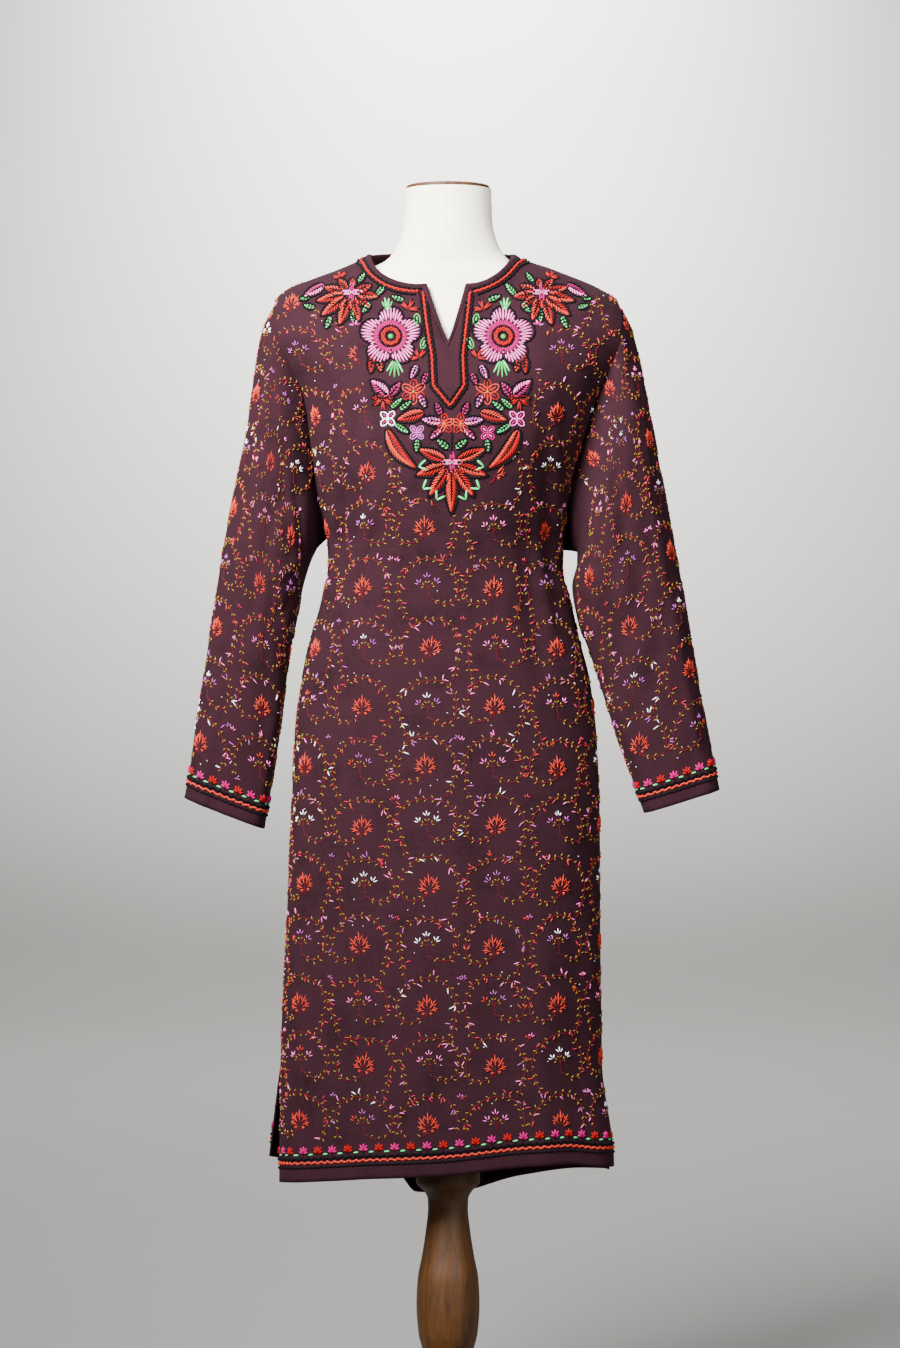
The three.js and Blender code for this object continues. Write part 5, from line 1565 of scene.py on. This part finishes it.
def sew_neck(face):
    """Chains round the neck, and round the long slit on the breast."""
    sewing = Sewing(9)
    t = np.linspace(0, 1, 70)
    for width, thick, yarn in ((6.5, 3.3, "black"), (10.0, 3.7, "red"), (13.7, 3.5, "black")):
        for right in (False, True):
            s, z = neck_line(face, right, t, width)
            sign = 1 if right else -1
            if face == "front":
                side = np.array([right])
                x = np.array([float(np.interp(a, *across_at(face, side, b))) for a, b in zip(s, z)])
                line = np.stack([sign * x, z], axis=1)
            else:
                line = np.stack([sign * s, z], axis=1)
            sewing.rope(line, thick, yarn, 3.0)
    if face == "front":
        middle = even(NECK_FRAME, 1.5)
        way = np.gradient(middle, axis=0)
        side = np.stack([way[:, 1], -way[:, 0]], axis=1) / np.linalg.norm(way, axis=1, keepdims=True)
        sewing.rope(middle, 3.9, "red", 3.1)
        sewing.rope(middle + side * 3.7, 3.3, "black", 3.0)
        sewing.rope(middle - side * 3.7, 3.3, "black", 3.0)
        return sewing.piece("neck_border_front", CLOTHS["front"], STITCH["bold"], 0.6, front_to_flat)
    return sewing.piece("neck_border_back", CLOTHS["back"], STITCH["bold"], 0.6)


# --- operators, one for each piece or group of like pieces ---


class PHERAN_OT_finishes(bpy.types.Operator):
    """Makes the materials of the garment, its yarns, the form and the stand"""

    bl_idname = "pheran.finishes"
    bl_label = "Finishes"

    def execute(self, context):
        colours = context.scene.pheran_colours
        # wool flannel, woven, felted and brushed: dull, with a soft nap
        wool_flannel("wool_flannel", colours.wool)
        # cotton canvas, plain woven and stretched: matt, with a fine even grain
        canvas_cover("cotton_canvas", colours.canvas)
        # hardwood, turned and thinly varnished: upright grain, satin
        turned_timber("turned_hardwood", colours.wood_dark, colours.wood_light)
        # the same hardwood, stained before varnishing: redder and darker
        turned_timber("turned_hardwood_red", colours.foot_dark, colours.foot_light)
        # steel tube, drawn and polished: bright, with fine marks round it
        drawn_steel("drawn_steel", colours.steel)
        # wool yarn, spun in two plies and dyed: soft and only a little lustrous
        for yarn in YARNS:
            wool_yarn("yarn_" + yarn, getattr(colours, yarn))
        STITCH["small"] = stitch_shape(3, (0.3, 0.7))
        STITCH["bold"] = stitch_shape(5, (0.12, 0.5, 0.88))
        return {"FINISHED"}


class PHERAN_OT_stage(bpy.types.Operator):
    """Sets the camera at the photo's angle, the soft lights and the pale studio wall and floor"""

    bl_idname = "pheran.stage"
    bl_label = "Stage"

    def execute(self, context):
        scene = context.scene
        camera = bpy.data.objects.new("camera", bpy.data.cameras.new("camera"))
        camera.data.sensor_fit = "VERTICAL"
        camera.data.sensor_height = 36
        camera.data.lens = CAMERA_LENS
        camera.location = CAMERA_PLACE
        camera.rotation_euler = (math.pi / 2, 0, 0)
        scene.collection.objects.link(camera)
        scene.camera = camera

        bm = bmesh.new()
        profile = [(FLOOR_NEAR, 0.0), (FLOOR_FAR, 0.0)]
        for a in np.linspace(0.06, math.pi / 2, 24):
            profile.append((FLOOR_FAR + WALL_CURVE * math.sin(a), WALL_CURVE - WALL_CURVE * math.cos(a)))
        profile.append((FLOOR_FAR + WALL_CURVE, WALL_TOP))
        near = [bm.verts.new((-WALL_HALF, y, z)) for y, z in profile]
        edges = [bm.edges.new(pair) for pair in zip(near, near[1:])]
        made = bmesh.ops.extrude_edge_only(bm, edges=edges)
        moved = [item for item in made["geom"] if isinstance(item, bmesh.types.BMVert)]
        bmesh.ops.translate(bm, verts=moved, vec=(2 * WALL_HALF, 0, 0))
        bmesh.ops.recalc_face_normals(bm, faces=bm.faces)
        mesh = bpy.data.meshes.new("studio_wall")
        bm.to_mesh(mesh)
        bm.free()
        wall = show("studio_wall", mesh)
        # emulsion paint, rolled on plaster: matt and slightly cloudy
        wall.data.materials.append(studio_wall("studio_paint", scene.pheran_colours.wall))

        power_of = scene.pheran_sizes.light
        for name, place, aim, size, watts, spread in (
            ("key_light", (-1.3, -2.0, 2.6), (0, 0, 1.62), 1.3, power_of, 84),
            ("fill_light", (2.4, -3.2, 2.1), (0, 0, 1.3), 2.2, power_of * 0.40, 100),
            ("wall_light", (0.0, 6.7, 4.2), (0, 8.5, 2.8), 1.2, power_of * 4.0, 110),
            ("floor_light", (0.0, 4.4, 5.4), (0, 4.7, 0), 3.2, power_of * 2.3, 118),
        ):
            data = bpy.data.lights.new(name, "AREA")
            data.size = size
            data.energy = watts
            data.spread = math.radians(spread)
            lamp = bpy.data.objects.new(name, data)
            lamp.location = place
            lamp.rotation_euler = (Vector(aim) - Vector(place)).to_track_quat("-Z", "Y").to_euler()
            scene.collection.objects.link(lamp)
        world = bpy.data.worlds.new("studio_air")
        world.use_nodes = True
        sky = world.node_tree.nodes["Background"]
        sky.inputs["Color"].default_value = (*linear("#E7E8EC"), 1)
        sky.inputs["Strength"].default_value = 0.17
        scene.world = world
        return {"FINISHED"}


class PHERAN_OT_form(bpy.types.Operator):
    """Makes the limbless dress form with its canvas cover"""

    bl_idname = "pheran.form"
    bl_label = "Dress form"

    def execute(self, context):
        form = solid_of_rings("dress_form", *form_rows())
        form.data.materials.append(ready("cotton_canvas"))
        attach(form, "root")
        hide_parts("form_torso")
        return {"FINISHED"}


class PHERAN_OT_stand(bpy.types.Operator):
    """Turns the cap, plate, pole, post, foot and base of the stand"""

    bl_idname = "pheran.stand"
    bl_label = "Stand"

    def execute(self, context):
        cap = table("z r", (1522.3, 49.2), (1523, 50), (1525.4, 50), (1526.3, 48.8))
        plate = table("z r", (685.7, 69), (686.7, 70), (698.7, 70), (699.7, 69))
        pole = table("z r", (347.3, 12), (685.4, 12))
        turned = np.linspace(132, 347, 90)
        parts = (
            ("neck_cap_turned", cap, cap["z"], "turned_hardwood_red", "dark_wood", "neck_cap"),
            ("plate_turned", plate, plate["z"], "turned_hardwood", "turned_wood", "form_base_plate"),
            ("pole_drawn", pole, pole["z"], "drawn_steel", "steel_pole", "pole"),
            ("post_turned", POST, turned, "turned_hardwood", "turned_wood", "post"),
            (
                "foot_turned", FOOT, np.linspace(30.3, 131.7, 60),
                "turned_hardwood_red", "dark_wood", "post_foot",
            ),
            ("base_turned", BASE, np.linspace(20, 30, 12), "turned_hardwood_red", "dark_wood", "base"),
        )
        for name, rows, stops, material, slot, node in parts:
            piece = spun(name, rows, stops)
            piece.data.materials.append(ready(material))
            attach(piece, "root")
            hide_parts(node)
        return {"FINISHED"}


class PHERAN_OT_panels(bpy.types.Operator):
    """Cuts the front and back of the garment and drapes them on the form"""

    bl_idname = "pheran.panels"
    bl_label = "Front and back"

    def execute(self, context):
        cloth_piece("front", context)
        cloth_piece("back", context)
        return {"FINISHED"}


class PHERAN_OT_sleeves(bpy.types.Operator):
    """Cuts the two sleeves and hangs them from the armholes"""

    bl_idname = "pheran.sleeves"
    bl_label = "Sleeves"

    def execute(self, context):
        cloth_piece("sleeve_left", context)
        cloth_piece("sleeve_right", context)
        return {"FINISHED"}


class PHERAN_OT_binding(bpy.types.Operator):
    """Turns the edge of the neck and of the slit"""

    bl_idname = "pheran.binding"
    bl_label = "Neck binding"

    def execute(self, context):
        mesh = cloth_mesh([binding_rows(context.scene.pheran_sizes.cloth / MM)])
        bm = bmesh.new()
        bm.from_mesh(mesh)
        ends = [edge for edge in bm.edges if edge.is_boundary]
        bmesh.ops.holes_fill(bm, edges=ends, sides=0)
        bmesh.ops.recalc_face_normals(bm, faces=bm.faces)
        bm.to_mesh(mesh)
        bm.free()
        piece = show("cloth_neck_binding", mesh)
        piece.data.materials.append(ready("wool_flannel"))
        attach(piece, "root")
        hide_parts("neck_binding")
        return {"FINISHED"}


class PHERAN_OT_pattern(bpy.types.Operator):
    """Embroiders the all-over pattern of plane leaves and sprigs in running vines"""

    bl_idname = "pheran.pattern"
    bl_label = "All-over pattern"

    def execute(self, context):
        for name in ("front", "back", "sleeve_left", "sleeve_right"):
            sew_jaal(name, context)
        return {"FINISHED"}


class PHERAN_OT_borders(bpy.types.Operator):
    """Embroiders the borders of hem, cuffs and neck"""

    bl_idname = "pheran.borders"
    bl_label = "Borders"

    def execute(self, context):
        for name in ("front", "back", "sleeve_left", "sleeve_right"):
            sew_border(name, context)
        sew_neck("front")
        sew_neck("back")
        return {"FINISHED"}


class PHERAN_OT_yoke(bpy.types.Operator):
    """Embroiders the large flowers and leaves of the breast"""

    bl_idname = "pheran.yoke"
    bl_label = "Yoke"

    def execute(self, context):
        sewing = Sewing(3)
        yoke(sewing)
        sewing.piece("yoke_embroidery", CLOTHS["front"], STITCH["bold"], 1.0, front_to_flat)
        return {"FINISHED"}


class PHERAN_OT_cut(bpy.types.Operator):
    """An empty step, which does nothing"""

    bl_idname = "pheran.cut"
    bl_label = "Cut sizes"

    def execute(self, context):
        return {"FINISHED"}


STEPS = (
    "stage", "finishes", "form", "stand", "panels", "sleeves",
    "binding", "pattern", "borders", "yoke", "cut",
)


class PHERAN_PT_panel(bpy.types.Panel):
    """Lists the steps that make the garment and the values that can be changed"""

    bl_label = "Pheran"
    bl_idname = "PHERAN_PT_panel"
    bl_space_type = "VIEW_3D"
    bl_region_type = "UI"
    bl_category = "Pheran"

    def draw(self, context):
        column_of = self.layout.column()
        for step in STEPS:
            column_of.operator("pheran." + step)
        for group in (context.scene.pheran_sizes, context.scene.pheran_colours):
            box = self.layout.box()
            for name in group.__annotations__:
                box.prop(group, name)


CLASSES = (
    PheranSizes, PheranColours, PHERAN_OT_finishes, PHERAN_OT_stage, PHERAN_OT_form, PHERAN_OT_stand,
    PHERAN_OT_panels, PHERAN_OT_sleeves, PHERAN_OT_binding, PHERAN_OT_pattern, PHERAN_OT_borders,
    PHERAN_OT_yoke, PHERAN_OT_cut, PHERAN_PT_panel,
)


def register():
    for kind in CLASSES:
        bpy.utils.register_class(kind)
    bpy.types.Scene.pheran_sizes = bpy.props.PointerProperty(type=PheranSizes)
    bpy.types.Scene.pheran_colours = bpy.props.PointerProperty(type=PheranColours)


def unregister():
    del bpy.types.Scene.pheran_colours
    del bpy.types.Scene.pheran_sizes
    for kind in reversed(CLASSES):
        bpy.utils.unregister_class(kind)


def main():
    register()
    for step in STEPS:
        getattr(bpy.ops.pheran, step)()


if __name__ == "__main__":
    main()
